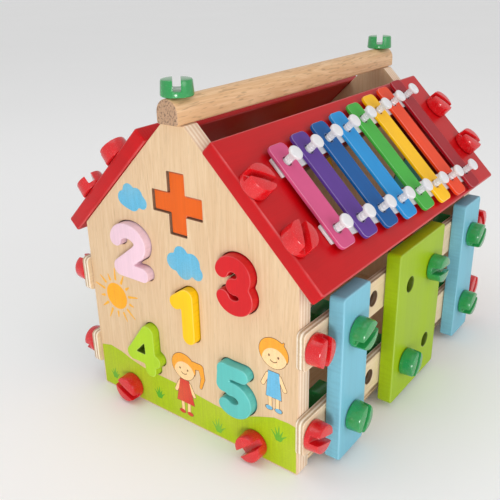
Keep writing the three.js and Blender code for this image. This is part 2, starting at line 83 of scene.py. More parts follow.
def rounded(corners: Sequence[Point], radius: float, steps: int = 5) -> Loop:
    """A counter-clockwise polygon with each corner turned into an arc.

    Args:
        corners: the polygon's corners.
        radius: the arcs' radius.
        steps: how many segments each arc has.

    Returns:
        The outline's points.
    """
    points: List[np.ndarray] = []
    ring = [np.array(c, float) for c in corners]
    for i, corner in enumerate(ring):
        before, after = ring[i - 1] - corner, ring[(i + 1) % len(ring)] - corner
        before /= np.linalg.norm(before)
        after /= np.linalg.norm(after)
        half = math.acos(max(-1.0, min(1.0, float(before @ after)))) / 2
        middle = (before + after) / np.linalg.norm(before + after)
        centre = corner + middle * radius / math.sin(half)
        start = corner + before * radius / math.tan(half) - centre
        sweep = math.pi - 2 * half
        for k in range(steps + 1):
            turn = sweep * k / steps
            cos, sin = math.cos(turn), math.sin(turn)
            spoke = [start[0] * cos - start[1] * sin, start[0] * sin + start[1] * cos]
            points.append(centre + np.array(spoke))
    return np.array(points)


def rectangle(width: float, height: float, radius: float, u: float = 0.0, v: float = 0.0) -> Loop:
    """A rectangle with round corners, centred on (u, v)."""
    a, b = width / 2, height / 2
    return rounded([(u - a, v - b), (u + a, v - b), (u + a, v + b), (u - a, v + b)], radius)


# ---------------------------------------------------------------- distance fields


def disc(u: float, v: float, a: float, b: Optional[float] = None) -> Field:
    """The field of a disc, or of an ellipse with half-axes a and b."""
    b = a if b is None else b
    return lambda x, y: (np.hypot((x - u) / a, (y - v) / b) - 1) * min(a, b)


def stroke(points: Sequence[Point], start: float, end: Optional[float] = None) -> Field:
    """The field of a pen stroke whose radius runs from start to end.

    Args:
        points: the line the pen follows.
        start: the pen's radius at its start.
        end: the radius at its end; the same if not given.

    Returns:
        The field.
    """
    end = start if end is None else end

    def distance(x: np.ndarray, y: np.ndarray) -> np.ndarray:
        """The least distance to any stretch of the stroke.

        Args:
            x: the places across.
            y: the places upwards.

        Returns:
            The distance at each place, below zero inside.
        """
        best = np.full(x.shape, 1e9)
        runs = list(zip(points, points[1:]))
        for i, (p, q) in enumerate(runs):
            d = (q[0] - p[0], q[1] - p[1])
            along = (x - p[0]) * d[0] + (y - p[1]) * d[1]
            t = np.clip(along / (d[0] ** 2 + d[1] ** 2 + 1e-9), 0, 1)
            radius = start + (end - start) * (i + t) / len(runs)
            best = np.minimum(best, np.hypot(x - p[0] - t * d[0], y - p[1] - t * d[1]) - radius)
        return best

    return distance


def polygon(corners: Sequence[Point]) -> Field:
    """The field of a convex counter-clockwise polygon.

    Args:
        corners: the corners in order.

    Returns:
        The field.
    """
    def distance(x: np.ndarray, y: np.ndarray) -> np.ndarray:
        """The greatest distance outside any of the sides.

        Args:
            x: the places across.
            y: the places upwards.

        Returns:
            The distance at each place, below zero inside.
        """
        best = np.full(x.shape, -1e9)
        for (px, py), (qx, qy) in zip(corners, list(corners[1:]) + [corners[0]]):
            length = math.hypot(qx - px, qy - py)
            best = np.maximum(best, ((qy - py) * (x - px) - (qx - px) * (y - py)) / length)
        return best

    return distance


def union(fields: Sequence[Field], blend: float = 0.01) -> Field:
    """The fields together, with a small fillet of the given size where they meet.

    Args:
        fields: the fields.
        blend: how wide the fillet is.

    Returns:
        The field.
    """
    def distance(x: np.ndarray, y: np.ndarray) -> np.ndarray:
        """The smooth least of the fields.

        Args:
            x: the places across.
            y: the places upwards.

        Returns:
            The distance at each place, below zero inside.
        """
        best = fields[0](x, y)
        for other in fields[1:]:
            value = other(x, y)
            near = np.maximum(blend - np.abs(best - value), 0) / blend
            best = np.minimum(best, value) - near * near * blend / 4
        return best

    return distance


def without(body: Field, tools: Sequence[Field]) -> Field:
    """A field with others cut out of it.

    Args:
        body: the field to cut.
        tools: the fields to take away.

    Returns:
        The field.
    """
    def distance(x: np.ndarray, y: np.ndarray) -> np.ndarray:
        """The body's field, raised wherever a tool reaches.

        Args:
            x: the places across.
            y: the places upwards.

        Returns:
            The distance at each place, below zero inside.
        """
        best = body(x, y)
        for tool in tools:
            best = np.maximum(best, -tool(x, y))
        return best

    return distance


def moved(body: Field, u: float, v: float, grow: float = 0.0) -> Field:
    """A field moved by (u, v) and grown all round."""
    return lambda x, y: body(x - u, y - v) - grow


def arc(u: float, v: float, a: float, b: float, start: float, end: float, steps: int = 28) -> List[Point]:
    """Points along an ellipse's arc, between two angles in degrees."""
    turns = np.radians(np.linspace(start, end, steps + 1))
    return [(u + a * math.cos(t), v + b * math.sin(t)) for t in turns]


# Which sides of a cell an outline enters and leaves by, for each set of corners that are inside.
CELL_RUNS = {
    1: [(0, 3)], 2: [(1, 0)], 3: [(1, 3)], 4: [(2, 1)], 5: [(0, 3), (2, 1)], 6: [(2, 0)], 7: [(2, 3)],
    8: [(3, 2)], 9: [(0, 2)], 10: [(1, 0), (3, 2)], 11: [(1, 2)], 12: [(3, 1)], 13: [(0, 1)], 14: [(3, 0)],
}


def trace(body: Field, low: Point, high: Point, step: float = 0.4) -> List[Loop]:
    """Closed outlines of the region where a field is below zero, its inside on the left.

    Args:
        body: the distance field.
        low: the lowest corner of the area to search.
        high: its highest corner.
        step: the search grid's pitch.

    Returns:
        One loop for each outline, outer ones counter-clockwise and holes clockwise.
    """
    xs, ys = np.arange(low[0], high[0] + step, step), np.arange(low[1], high[1] + step, step)
    value = body(*np.meshgrid(xs, ys))
    inside = value < 0
    code = inside[:-1, :-1] + 2 * inside[:-1, 1:] + 4 * inside[1:, 1:] + 8 * inside[1:, :-1]
    follow: Dict[Tuple[int, int, int], Tuple[int, int, int]] = {}
    for j, i in zip(*np.where((code > 0) & (code < 15))):
        sides = [(j, i, 0), (j, i + 1, 1), (j + 1, i, 0), (j, i, 1)]
        for enter, leave in CELL_RUNS[int(code[j, i])]:
            follow[sides[enter]] = sides[leave]
    loops = []
    while follow:
        first, key = follow.popitem()
        run = [first]
        while key != first:
            run.append(key)
            key = follow.pop(key)
        loop: List[np.ndarray] = []
        for j, i, upright in run:
            a, b = value[j, i], value[j + upright, i + 1 - upright]
            t = a / (a - b)
            point = np.array([xs[i] + (0 if upright else t * step), ys[j] + (t * step if upright else 0)])
            if not loop or np.linalg.norm(point - loop[-1]) > step * 0.45:
                loop.append(point)
        if len(loop) > 6:
            loops.append(np.array(loop))
    return loops


# ---------------------------------------------------------------- meshes


@dataclass
class Sheet:
    """A mesh in the making, with each point's place along the grain and its share of an edge."""

    points: List[Sequence[float]] = field(default_factory=list)
    faces: List[Tuple[int, ...]] = field(default_factory=list)
    side: List[float] = field(default_factory=list)
    bore: List[float] = field(default_factory=list)
    sharp: List[Tuple[int, int]] = field(default_factory=list)

    def ring(self, loop: Loop, w: float, side: float, bore: float = 0.0) -> List[int]:
        """Adds one loop of points at a level of w, and gives their numbers.

        Args:
            loop: the points.
            w: their level.
            side: their share of an edge.
            bore: their share of an opening.

        Returns:
            The points' numbers.
        """
        start = len(self.points)
        self.points += [(float(u), float(v), w) for u, v in loop]
        self.side += [side] * len(loop)
        self.bore += [bore] * len(loop)
        return list(range(start, start + len(loop)))

    def wall(self, lower: List[int], upper: List[int]) -> None:
        """Joins two rings of equal length with quads.

        Args:
            lower: the first ring.
            upper: the second ring.
        """
        count = len(lower)
        for i in range(count):
            k = (i + 1) % count
            self.faces.append((lower[i], lower[k], upper[k], upper[i]))

    def cap(self, rings: List[List[int]], up: bool) -> None:
        """Fills the area between rings, facing up or down, with a crease all round.

        Args:
            rings: the outline and its holes.
            up: whether the face looks up.
        """
        order = [i for ring in rings for i in ring]
        flat = [[Vector((*self.points[i][:2], 0)) for i in ring] for ring in rings]
        for a, b, c in tessellate_polygon(flat):
            (ax, ay, _), (bx, by, _), (cx, cy, _) = (self.points[order[k]] for k in (a, b, c))
            area = (bx - ax) * (cy - ay) - (cx - ax) * (by - ay)
            if abs(area) > 1e-9:
                turn = (a, b, c) if (area > 0) == up else (c, b, a)
                self.faces.append(tuple(order[k] for k in turn))
        for ring in rings:
            self.sharp += [(ring[i - 1], ring[i]) for i in range(len(ring))]


def inset(loop: Loop, amount: float) -> Loop:
    """A loop moved into its material, which lies on its left.

    Args:
        loop: the loop.
        amount: how far to move it.

    Returns:
        The moved loop.
    """
    ahead = np.roll(loop, -1, 0) - loop
    ahead /= np.linalg.norm(ahead, axis=1, keepdims=True) + 1e-12
    left = np.stack([-ahead[:, 1], ahead[:, 0]], 1)
    both = left + np.roll(left, 1, 0)
    both /= np.maximum(np.sum(both * left, 1, keepdims=True), 0.5)
    return loop + both * amount


def plate(loops: Sequence[Loop], bottom: float, top: float, edge: float, rounds: int = 3) -> Sheet:
    """A flat board with rounded edges.

    Args:
        loops: its outline and its holes, with the material on the left of each.
        bottom: the level of its back.
        top: the level of its face.
        edge: the radius of its edges.
        rounds: how many segments an edge has.

    Returns:
        The board's sheet.
    """
    sheet = Sheet()
    lows, highs = [], []
    for loop in loops:
        sawn = 1.0 if signed_area(loop) < 0 else 0.0
        turns = [math.pi / 2 * k / rounds for k in range(rounds + 1)]
        levels = [(edge * (1 - math.sin(t)), bottom + edge * (1 - math.cos(t)), math.sin(t)) for t in turns]
        levels += [(edge * (1 - math.sin(t)), top - edge * (1 - math.cos(t)), math.sin(t))
                   for t in turns[::-1]]
        rings = [sheet.ring(inset(loop, amount), w, side, sawn * side) for amount, w, side in levels]
        for lower, upper in zip(rings, rings[1:]):
            sheet.wall(lower, upper)
        lows.append(rings[0])
        highs.append(rings[-1])
    sheet.cap(lows, up=False)
    sheet.cap(highs, up=True)
    return sheet


def turned(profile: Sequence[Point], sides: int = 40) -> Sheet:
    """A solid turned about w, from [radius, level] pairs that run from its foot to its top.

    Args:
        profile: the pairs; the first and last lie on the axis.
        sides: how many segments go round.

    Returns:
        The solid's sheet.
    """
    sheet = Sheet()
    ends = [len(sheet.points)]
    sheet.points.append((0, 0, profile[0][1]))
    sheet.side.append(0.0)
    sheet.bore.append(0.0)
    rings = [sheet.ring(circle(0, 0, r, sides), w, 1.0) for r, w in profile[1:-1]]
    ends.append(len(sheet.points))
    sheet.points.append((0, 0, profile[-1][1]))
    sheet.side.append(0.0)
    sheet.bore.append(0.0)
    for lower, upper in zip(rings, rings[1:]):
        sheet.wall(lower, upper)
    for i in range(sides):
        k = (i + 1) % sides
        sheet.faces.append((ends[0], rings[0][k], rings[0][i]))
        sheet.faces.append((ends[1], rings[-1][i], rings[-1][k]))
    return sheet


class Grain(Enum):
    """Which way the grain runs in a piece's own frame."""

    ALONG_U = (0, 1, 2)
    ALONG_V = (1, 0, 2)
    ALONG_W = (2, 0, 1)


def mesh_of(name: str, sheet: Sheet, place: Matrix, grain: Grain = Grain.ALONG_U,
            smooth: float = 32.0) -> bpy.types.Mesh:
    """Makes a Blender mesh from a sheet.

    Args:
        name: the mesh's name.
        sheet: the shape, in millimetres in its own frame.
        place: that frame, in millimetres in the house's frame.
        grain: which way the grain runs.
        smooth: edges sharper than this many degrees stay creases.

    Returns:
        The mesh, in metres, with its grain, side and bore attributes.
    """
    mesh = bpy.data.meshes.new(name)
    to_metres = Matrix.Scale(MM, 4) @ place
    mesh.from_pydata([to_metres @ Vector(p) for p in sheet.points], [], sheet.faces)
    local = np.array(sheet.points, float)[:, list(grain.value)] * MM
    shift = (sum(map(ord, name)) % 97) * 0.013
    coords = mesh.attributes.new("grain", "FLOAT_VECTOR", "POINT")
    coords.data.foreach_set("vector", (local + [shift, shift * 0.37, 0]).astype(np.float32).ravel())
    for label, values in (("side", sheet.side), ("bore", sheet.bore)):
        share = mesh.attributes.new(label, "FLOAT", "POINT")
        share.data.foreach_set("value", np.array(values, np.float32))
    mesh.polygons.foreach_set("use_smooth", np.ones(len(mesh.polygons), bool))
    mesh.update()
    mesh.set_sharp_from_angle(angle=math.radians(smooth))
    if sheet.sharp:
        creases = {tuple(sorted(pair)) for pair in sheet.sharp}
        for e in mesh.edges:
            if tuple(sorted(e.vertices)) in creases:
                e.use_edge_sharp = True
    mesh.validate()
    return mesh


# ---------------------------------------------------------------- finishes


def add_node(tree: bpy.types.NodeTree, kind: str, inputs: Dict, **settings: object) -> bpy.types.Node:
    """Adds a node to a tree.

    Args:
        tree: the tree.
        kind: the node's type.
        inputs: a value, or another node's output socket, for each input by name or number.
        settings: the node's properties.

    Returns:
        The node.
    """
    node = tree.nodes.new(kind)
    for key, value in settings.items():
        setattr(node, key, value)
    for key, value in inputs.items():
        if isinstance(value, Socket):
            tree.links.new(value, node.inputs[key])
        else:
            node.inputs[key].default_value = value
    return node


class Graph:
    """A short way to write a material's nodes."""

    def __init__(self, name: str) -> None:
        """Starts an empty material with that name.

        Args:
            name: the material's name.
        """
        self.material = bpy.data.materials.new(name)
        self.material.use_nodes = True
        self.tree = self.material.node_tree
        self.tree.nodes.clear()

    def add(self, kind: str, inputs: Dict, **settings: object) -> bpy.types.Node:
        """Adds a node to the material."""
        return add_node(self.tree, kind, inputs, **settings)

    def grain(self, scale: Sequence[float]) -> Socket:
        """The piece's grain coordinates, scaled; the first runs along the grain."""
        coords = self.add("ShaderNodeAttribute", {}, attribute_name="grain")
        return self.add("ShaderNodeMapping", {0: coords.outputs["Vector"], "Scale": scale}).outputs[0]

    def side(self) -> Socket:
        """The share of an edge, from 0 on a face to 1 on an edge."""
        return self.add("ShaderNodeAttribute", {}, attribute_name="side").outputs["Fac"]

    def shade_openings(self, colour: Tint, dust_and_painted_shade: Colour) -> Socket:
        """A colour that gives way to a painted shade, dark and mottled, in drilled and sawn openings.

        Args:
            colour: the colour outside.
            dust_and_painted_shade: the darkest painted shade inside.

        Returns:
            The colour.
        """
        bore = self.add("ShaderNodeAttribute", {}, attribute_name="bore").outputs["Fac"]
        # painted shade: the walls of openings darken towards a mottled dark colour, where shade falls inside
        # them
        bore_mottle = self.noise(self.grain((500.0, 500.0, 500.0)), 1.0, 3.0)
        inside = self.mix(self.span(bore_mottle, 0.3, 0.7), shade(dust_and_painted_shade, 0.55), dust_and_painted_shade)
        return self.mix(self.math("MULTIPLY", self.span(bore, 0.4, 0.8), 0.85), colour, inside)

    def noise(self, coords: Socket, scale: float, detail: float = 3.0, distortion: float = 0.0) -> Socket:
        """A noise value from 0 to 1.

        Args:
            coords: where to read it.
            scale: how fine it is.
            detail: how many octaves.
            distortion: how much it swirls.

        Returns:
            The value.
        """
        node = self.add("ShaderNodeTexNoise", {"Vector": coords, "Scale": scale, "Detail": detail,
                                               "Distortion": distortion})
        return node.outputs["Fac"]

    def span(self, value: Value, low: float, high: float, to_low: float = 0.0,
             to_high: float = 1.0) -> Socket:
        """A value carried from one range to another."""
        node = self.add("ShaderNodeMapRange", {0: value, 1: low, 2: high, 3: to_low, 4: to_high})
        return node.outputs[0]

    def math(self, kind: str, a: Value, b: Value = 0.0) -> Socket:
        """One sum of two values."""
        return self.add("ShaderNodeMath", {0: a, 1: b}, operation=kind).outputs[0]

    def mix(self, share: Value, a: Tint, b: Tint) -> Socket:
        """Two colours mixed by a share.

        Args:
            share: how much of the second.
            a: the first.
            b: the second.

        Returns:
            The colour.
        """
        colours = [c if isinstance(c, Socket) else (*c, 1.0) for c in (a, b)]
        inputs = {0: share, 6: colours[0], 7: colours[1]}
        return self.add("ShaderNodeMix", inputs, data_type="RGBA").outputs[2]

    def finish(self, colour: Socket, roughness: Value, height: Optional[Socket] = None, lift: float = 0.0,
               **constants: float) -> bpy.types.Material:
        """Ends the material in a Principled shader.

        Args:
            colour: the colour, from a node.
            roughness: the roughness, a number or from a node.
            height: the bump's height, from a node.
            lift: how far the bump stands, in metres.
            constants: further shader inputs, set on the shader itself.

        Returns:
            The material.
        """
        inputs = {"Base Color": colour, "Roughness": roughness}
        if height is not None:
            bump = self.add("ShaderNodeBump", {"Strength": 1.0, "Distance": lift, "Height": height})
            inputs["Normal"] = bump.outputs[0]
        inputs.update({key.replace("_", " "): value for key, value in constants.items()})
        shader = self.add("ShaderNodeBsdfPrincipled", inputs)
        output = self.tree.nodes.new("ShaderNodeOutputMaterial")
        self.tree.links.new(shader.outputs[0], output.inputs[0])
        return self.material


def srgb(red: int, green: int, blue: int) -> Colour:
    """A screen colour, 0 to 255, as linear light.

    Args:
        red: the red channel.
        green: the green channel.
        blue: the blue channel.

    Returns:
        The colour.
    """
    def linear(value: int) -> float:
        """One channel."""
        c = value / 255
        return c / 12.92 if c <= 0.04045 else ((c + 0.055) / 1.055) ** 2.4

    return linear(red), linear(green), linear(blue)


def shade(colour: Colour, by: float) -> Colour:
    """A colour made lighter or darker."""
    return tuple(min(1.0, c * by) for c in colour)


@dataclass(frozen=True)
class Plywood:
    """Bare plywood: long grain on its face and plies on its edges."""

    name: str
    face: Colour
    dark: Colour
    ply_light: Colour
    ply_dark: Colour
    thickness: float
    plies: int = 7

    def material(self) -> bpy.types.Material:
        """The material, with soft figure, fine fibres and glued layers.

        Returns:
            The material.
        """
        g = Graph(self.name)
        figure = g.noise(g.grain((3.0, 34.0, 34.0)), 1.0, 3.0, 1.4)
        bands = g.math("ABSOLUTE", g.math("SINE", g.math("MULTIPLY", figure, 42.0)))
        fibres = g.noise(g.grain((34.0, 1500.0, 1500.0)), 1.0, 4.0)
        pores = g.span(g.noise(g.grain((130.0, 2600.0, 2600.0)), 1.0, 1.0), 0.62, 0.72)
        patches = g.noise(g.grain((9.0, 22.0, 22.0)), 1.0, 2.0, 0.6)
        share = g.math("ADD", g.math("MULTIPLY", bands, 0.16), g.math("MULTIPLY", fibres, 0.45))
        share = g.math("ADD", share, g.math("MULTIPLY", patches, 0.34))
        face = g.mix(g.span(share, 0.26, 0.72), self.face, self.dark)
        face = g.mix(g.math("MULTIPLY", pores, 0.30), face, shade(self.dark, 0.62))
        depth = g.add("ShaderNodeSeparateXYZ", {0: g.grain((1.0, 1.0, 1.0))}).outputs[2]
        wave = g.noise(g.grain((60.0, 60.0, 0.0)), 1.0)
        wobble = g.math("MULTIPLY", g.math("SUBTRACT", wave, 0.5), 0.0003)
        turn = 2 * math.pi * self.plies / (self.thickness * MM)
        layers = g.math("SINE", g.math("MULTIPLY", g.math("ADD", depth, wobble), turn))
        rough = g.noise(g.grain((900.0, 900.0, 300.0)), 1.0, 2.0)
        layers = g.math("ADD", layers, g.math("MULTIPLY", g.math("SUBTRACT", rough, 0.5), 1.3))
        edge = g.mix(g.span(layers, -0.5, 0.6), self.ply_dark, self.ply_light)
        # painted shade: the walls of openings darken to a dark brown
        colour = g.shade_openings(g.mix(g.span(g.side(), 0.35, 0.75), face, edge), srgb(112, 76, 48))
        height = g.math("ADD", g.math("MULTIPLY", fibres, 0.6), g.math("MULTIPLY", pores, -0.7))
        sheen = g.span(fibres, 0.2, 0.8, 0.46, 0.62)
        return g.finish(colour, sheen, height, 0.00006, Specular_IOR_Level=0.35)


@dataclass(frozen=True)
class SolidWood:
    """A machined solid bar: flowing rings along it and end grain on its ends."""

    name: str
    light: Colour
    dark: Colour
    end: Colour

    def material(self) -> bpy.types.Material:
        """The material, with long rings, rays and a darker, pored end.

        Returns:
            The material.
        """
        g = Graph(self.name)
        figure = g.noise(g.grain((5.0, 75.0, 75.0)), 1.0, 3.0, 1.1)
        bands = g.math("ABSOLUTE", g.math("SINE", g.math("MULTIPLY", figure, 26.0)))
        fibres = g.noise(g.grain((50.0, 1700.0, 1700.0)), 1.0, 4.0)
        flecks = g.span(g.noise(g.grain((110.0, 900.0, 900.0)), 1.0, 1.0), 0.58, 0.68)
        share = g.math("ADD", g.math("MULTIPLY", bands, 0.30), g.math("MULTIPLY", fibres, 0.55))
        along = g.mix(g.span(share, 0.20, 0.72), self.light, self.dark)
        along = g.mix(g.math("MULTIPLY", flecks, 0.5), along, shade(self.dark, 0.55))
        pores = g.span(g.noise(g.grain((0.0, 850.0, 850.0)), 1.0, 2.0), 0.50, 0.62)
        across = g.mix(g.math("MULTIPLY", pores, 0.85), self.end, shade(self.end, 0.36))
        colour = g.mix(g.span(g.side(), 0.55, 0.9), across, along)
        height = g.math("SUBTRACT", fibres, g.math("MULTIPLY", pores, 0.2))
        sheen = g.span(fibres, 0.2, 0.8, 0.42, 0.58)
        return g.finish(colour, sheen, height, 0.00006, Specular_IOR_Level=0.4)


@dataclass(frozen=True)
class Paint:
    """A coat of paint on wood, with the grain just telling and paler edges, partly softly rubbed paint and
    partly a painted highlight.
    """

    name: str
    colour: Colour
    roughness: float = 0.36
    rub_and_highlight_share: float = 0.22
    coat: float = 0.06

    def material(self) -> bpy.types.Material:
        """The material: brushed film, faint grain, paler corners of rubbed paint with a painted highlight.

        Returns:
            The material.
        """
        g = Graph(self.name)
        cloud = g.noise(g.grain((18.0, 40.0, 40.0)), 1.0, 4.0)
        fibres = g.noise(g.grain((30.0, 1100.0, 1100.0)), 1.0, 3.0)
        specks = g.noise(g.grain((2400.0, 2400.0, 2400.0)), 1.0, 1.0)
        share = g.math("ADD", g.math("MULTIPLY", cloud, 0.6), g.math("MULTIPLY", fibres, 0.4))
        film = g.mix(g.span(share, 0.3, 0.7), shade(self.colour, 0.90), shade(self.colour, 1.07))
        side = g.side()
        # paler bevels: rubbed paint, and a painted highlight along every edge
        corner = g.math("MULTIPLY", g.span(side, 0.05, 0.5), g.span(side, 1.0, 0.6))
        rub_and_highlight = g.math("MULTIPLY", corner, g.span(cloud, 0.35, 0.65, 0.3, 1.0))
        pale = tuple(c + (1 - c) * 0.45 for c in self.colour)
        ribs = g.noise(g.grain((700.0, 60.0, 60.0)), 1.0, 1.0)
        sawn = g.math("MULTIPLY", g.span(side, 0.9, 1.0), g.span(ribs, 0.45, 0.6))
        film = g.mix(g.math("MULTIPLY", sawn, 0.22), film, shade(self.colour, 0.72))
        colour = g.mix(g.math("MULTIPLY", rub_and_highlight, self.rub_and_highlight_share), film, pale)
        # painted shade: the walls of openings darken to the paint's own colour at near black
        colour = g.shade_openings(colour, tuple(c * 0.16 + 0.01 for c in self.colour))
        height = g.math("ADD", g.math("MULTIPLY", fibres, 0.7), g.math("MULTIPLY", specks, 0.3))
        height = g.math("SUBTRACT", height, g.math("MULTIPLY", sawn, 1.5))
        rough = g.span(cloud, 0.3, 0.7, self.roughness - 0.05, self.roughness + 0.07)
        return g.finish(colour, rough, height, 0.000022, Coat_Weight=self.coat, Coat_Roughness=0.2,
                        Specular_IOR_Level=0.26)


@dataclass(frozen=True)
class Plastic:
    """Moulded plastic with a fine skin."""

    name: str
    colour: Colour
    roughness: float = 0.22
    coat: float = 0.35

    def material(self) -> bpy.types.Material:
        """The material: flow marks, dust and a skin like orange peel.

        Returns:
            The material.
        """
        g = Graph(self.name)
        flow = g.noise(g.grain((70.0, 70.0, 26.0)), 1.0, 3.0, 1.0)
        peel = g.noise(g.grain((900.0, 900.0, 900.0)), 1.0, 2.0)
        dust_and_painted_shade = g.span(g.noise(g.grain((3200.0, 3200.0, 3200.0)), 1.0, 0.0), 0.70, 0.76)
        film = g.mix(g.span(flow, 0.3, 0.7), shade(self.colour, 0.92), shade(self.colour, 1.06))
        pale = tuple(c + (1 - c) * 0.5 for c in self.colour)
        colour = g.mix(g.math("MULTIPLY", dust_and_painted_shade, 0.18), film, pale)
        rough = g.span(flow, 0.3, 0.7, self.roughness - 0.05, self.roughness + 0.06)
        return g.finish(colour, rough, peel, 0.000015, Coat_Weight=self.coat, Coat_Roughness=0.1)


@dataclass(frozen=True)
class Enamel:
    """A stamped metal bar: enamel on its face and pale edges, partly bare metal and partly a painted
    highlight.
    """

    name: str
    colour: Colour

    def material(self) -> bpy.types.Material:
        """The material: satin enamel that thins towards a pale edge line, partly bare metal and partly a
        painted highlight.

        Returns:
            The material.
        """
        g = Graph(self.name)
        peel = g.noise(g.grain((700.0, 700.0, 700.0)), 1.0, 2.0)
        cloud = g.noise(g.grain((30.0, 60.0, 60.0)), 1.0, 3.0)
        film = g.mix(g.span(cloud, 0.3, 0.7), shade(self.colour, 0.93), shade(self.colour, 1.06))
        side = g.side()
        # a pale line on the rounded edges: bare metal, and a painted highlight along it
        line = g.math("MULTIPLY", g.span(side, 0.30, 0.5), g.span(side, 0.9, 0.6))
        bare_edge_and_highlight = g.math("MULTIPLY", line, g.span(cloud, 0.3, 0.7, 0.35, 0.8))
        metal = tuple(0.4 + 0.5 * c for c in self.colour)
        colour = g.mix(bare_edge_and_highlight, film, metal)
        return g.finish(colour, g.span(cloud, 0.3, 0.7, 0.30, 0.42), peel, 0.00001, Specular_IOR_Level=0.22)


@dataclass(frozen=True)
class Ink:
    """Printing ink on bare wood, thin enough for the grain to tell."""

    name: str
    colour: Colour

    def material(self) -> bpy.types.Material:
        """The material: a matt film broken by the fibres under it.

        Returns:
            The material.
        """
        g = Graph(self.name)
        fibres = g.noise(g.grain((1500.0, 34.0, 1500.0)), 1.0, 4.0)
        dots = g.noise(g.grain((1300.0, 1300.0, 1300.0)), 1.0, 0.0)
        wash = g.noise(g.grain((26.0, 26.0, 26.0)), 1.0, 2.0)
        share = g.math("ADD", g.math("MULTIPLY", fibres, 0.7), g.math("MULTIPLY", dots, 0.3))
        film = g.mix(g.span(share, 0.35, 0.65), shade(self.colour, 0.90), shade(self.colour, 1.10))
        colour = g.mix(g.span(wash, 0.35, 0.7, 0.0, 0.16), film, srgb(236, 210, 120))
        return g.finish(colour, g.span(fibres, 0.3, 0.7, 0.5, 0.62), fibres, 0.00003, Specular_IOR_Level=0.3)


class Palette(Enum):
    """Every finish on the house, by the name of the thing that wears it."""

    GABLE = Plywood("gable plywood", srgb(226, 198, 162), srgb(211, 176, 136), srgb(238, 216, 192),
                    srgb(222, 190, 158), 11.0, 4)
    FLOOR = Plywood("floor plywood", srgb(220, 188, 145), srgb(198, 158, 112), srgb(228, 202, 170),
                    srgb(198, 160, 118), 12.0, 5)
    RAIL = Plywood("rail plywood", srgb(238, 216, 184), srgb(222, 194, 156), srgb(240, 226, 206),
                   srgb(190, 162, 130), 5.0, 2)
    HANDLE = SolidWood("handle beech", srgb(226, 188, 146), srgb(206, 160, 114), srgb(182, 146, 116))
    RED = Paint("red paint", srgb(190, 2, 10), 0.34, coat=0.06)
    BLUE = Paint("blue paint", srgb(118, 182, 202), 0.45)
    LIME = Paint("lime paint", srgb(152, 181, 3), 0.45)
    ORANGE = Paint("orange paint", srgb(222, 94, 8), 0.4)
    YELLOW = Paint("yellow paint", srgb(248, 196, 0), 0.4)
    PINK = Paint("pink paint", srgb(232, 198, 211), 0.4)
    TURQUOISE = Paint("turquoise paint", srgb(92, 188, 182), 0.4)
    DIGIT_RED = Paint("number red paint", srgb(204, 18, 26), 0.36)
    DIGIT_LIME = Paint("number lime paint", srgb(168, 204, 28), 0.4)
    RED_BOLT = Plastic("red bolt plastic", srgb(208, 16, 24))
    GREEN_BOLT = Plastic("green bolt plastic", srgb(34, 142, 72))
    WHITE = Plastic("white pin plastic", srgb(216, 214, 216), 0.36, 0.1)


# ---------------------------------------------------------------- pieces


MADE: Dict[str, bpy.types.Material] = {}


def dress(finish: object) -> bpy.types.Material:
    """A finish's material, made once.

    Args:
        finish: a finish, or its entry in the palette.

    Returns:
        The material.
    """
    finish = finish.value if isinstance(finish, Enum) else finish
    if finish.name not in MADE:
        MADE[finish.name] = finish.material()
    return MADE[finish.name]


def publish(name: str, mesh: bpy.types.Mesh, finish: object, slot: str, body: str, *nodes: str) -> None:
    """Adds a finished piece to the house.

    Args:
        name: the piece's name.
        mesh: its mesh, in the house's frame.
        finish: its finish.
        slot: the record's material slot; not used.
        body: the body it moves with.
        nodes: the nodes it stands for.
    """
    mesh.materials.clear()
    mesh.materials.append(dress(finish))
    piece = bpy.data.objects.new(name, mesh)
    bpy.context.scene.collection.objects.link(piece)
    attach(piece, body)
    if nodes:
        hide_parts(*nodes)
    log.info("%s: %d faces on %s", name, len(mesh.polygons), body)


def basis(u: Sequence[float], v: Sequence[float], w: Sequence[float], at: Sequence[float]) -> Matrix:
    """A frame from its three directions and its origin.

    Args:
        u: the first direction.
        v: the second.
        w: the third.
        at: the origin.

    Returns:
        The frame.
    """
    columns = [Vector(u).to_4d(), Vector(v).to_4d(), Vector(w).to_4d(), Vector(at).to_4d()]
    for column in columns[:3]:
        column[3] = 0
    return Matrix(columns).transposed()


def seat_at(wall: Matrix, spot: Sequence[float]) -> Matrix:
    """The frame of a bolt's seat, at a spot in a wall's own frame."""
    return Matrix.Translation(wall @ Vector(spot)) @ wall.to_3x3().to_4x4()


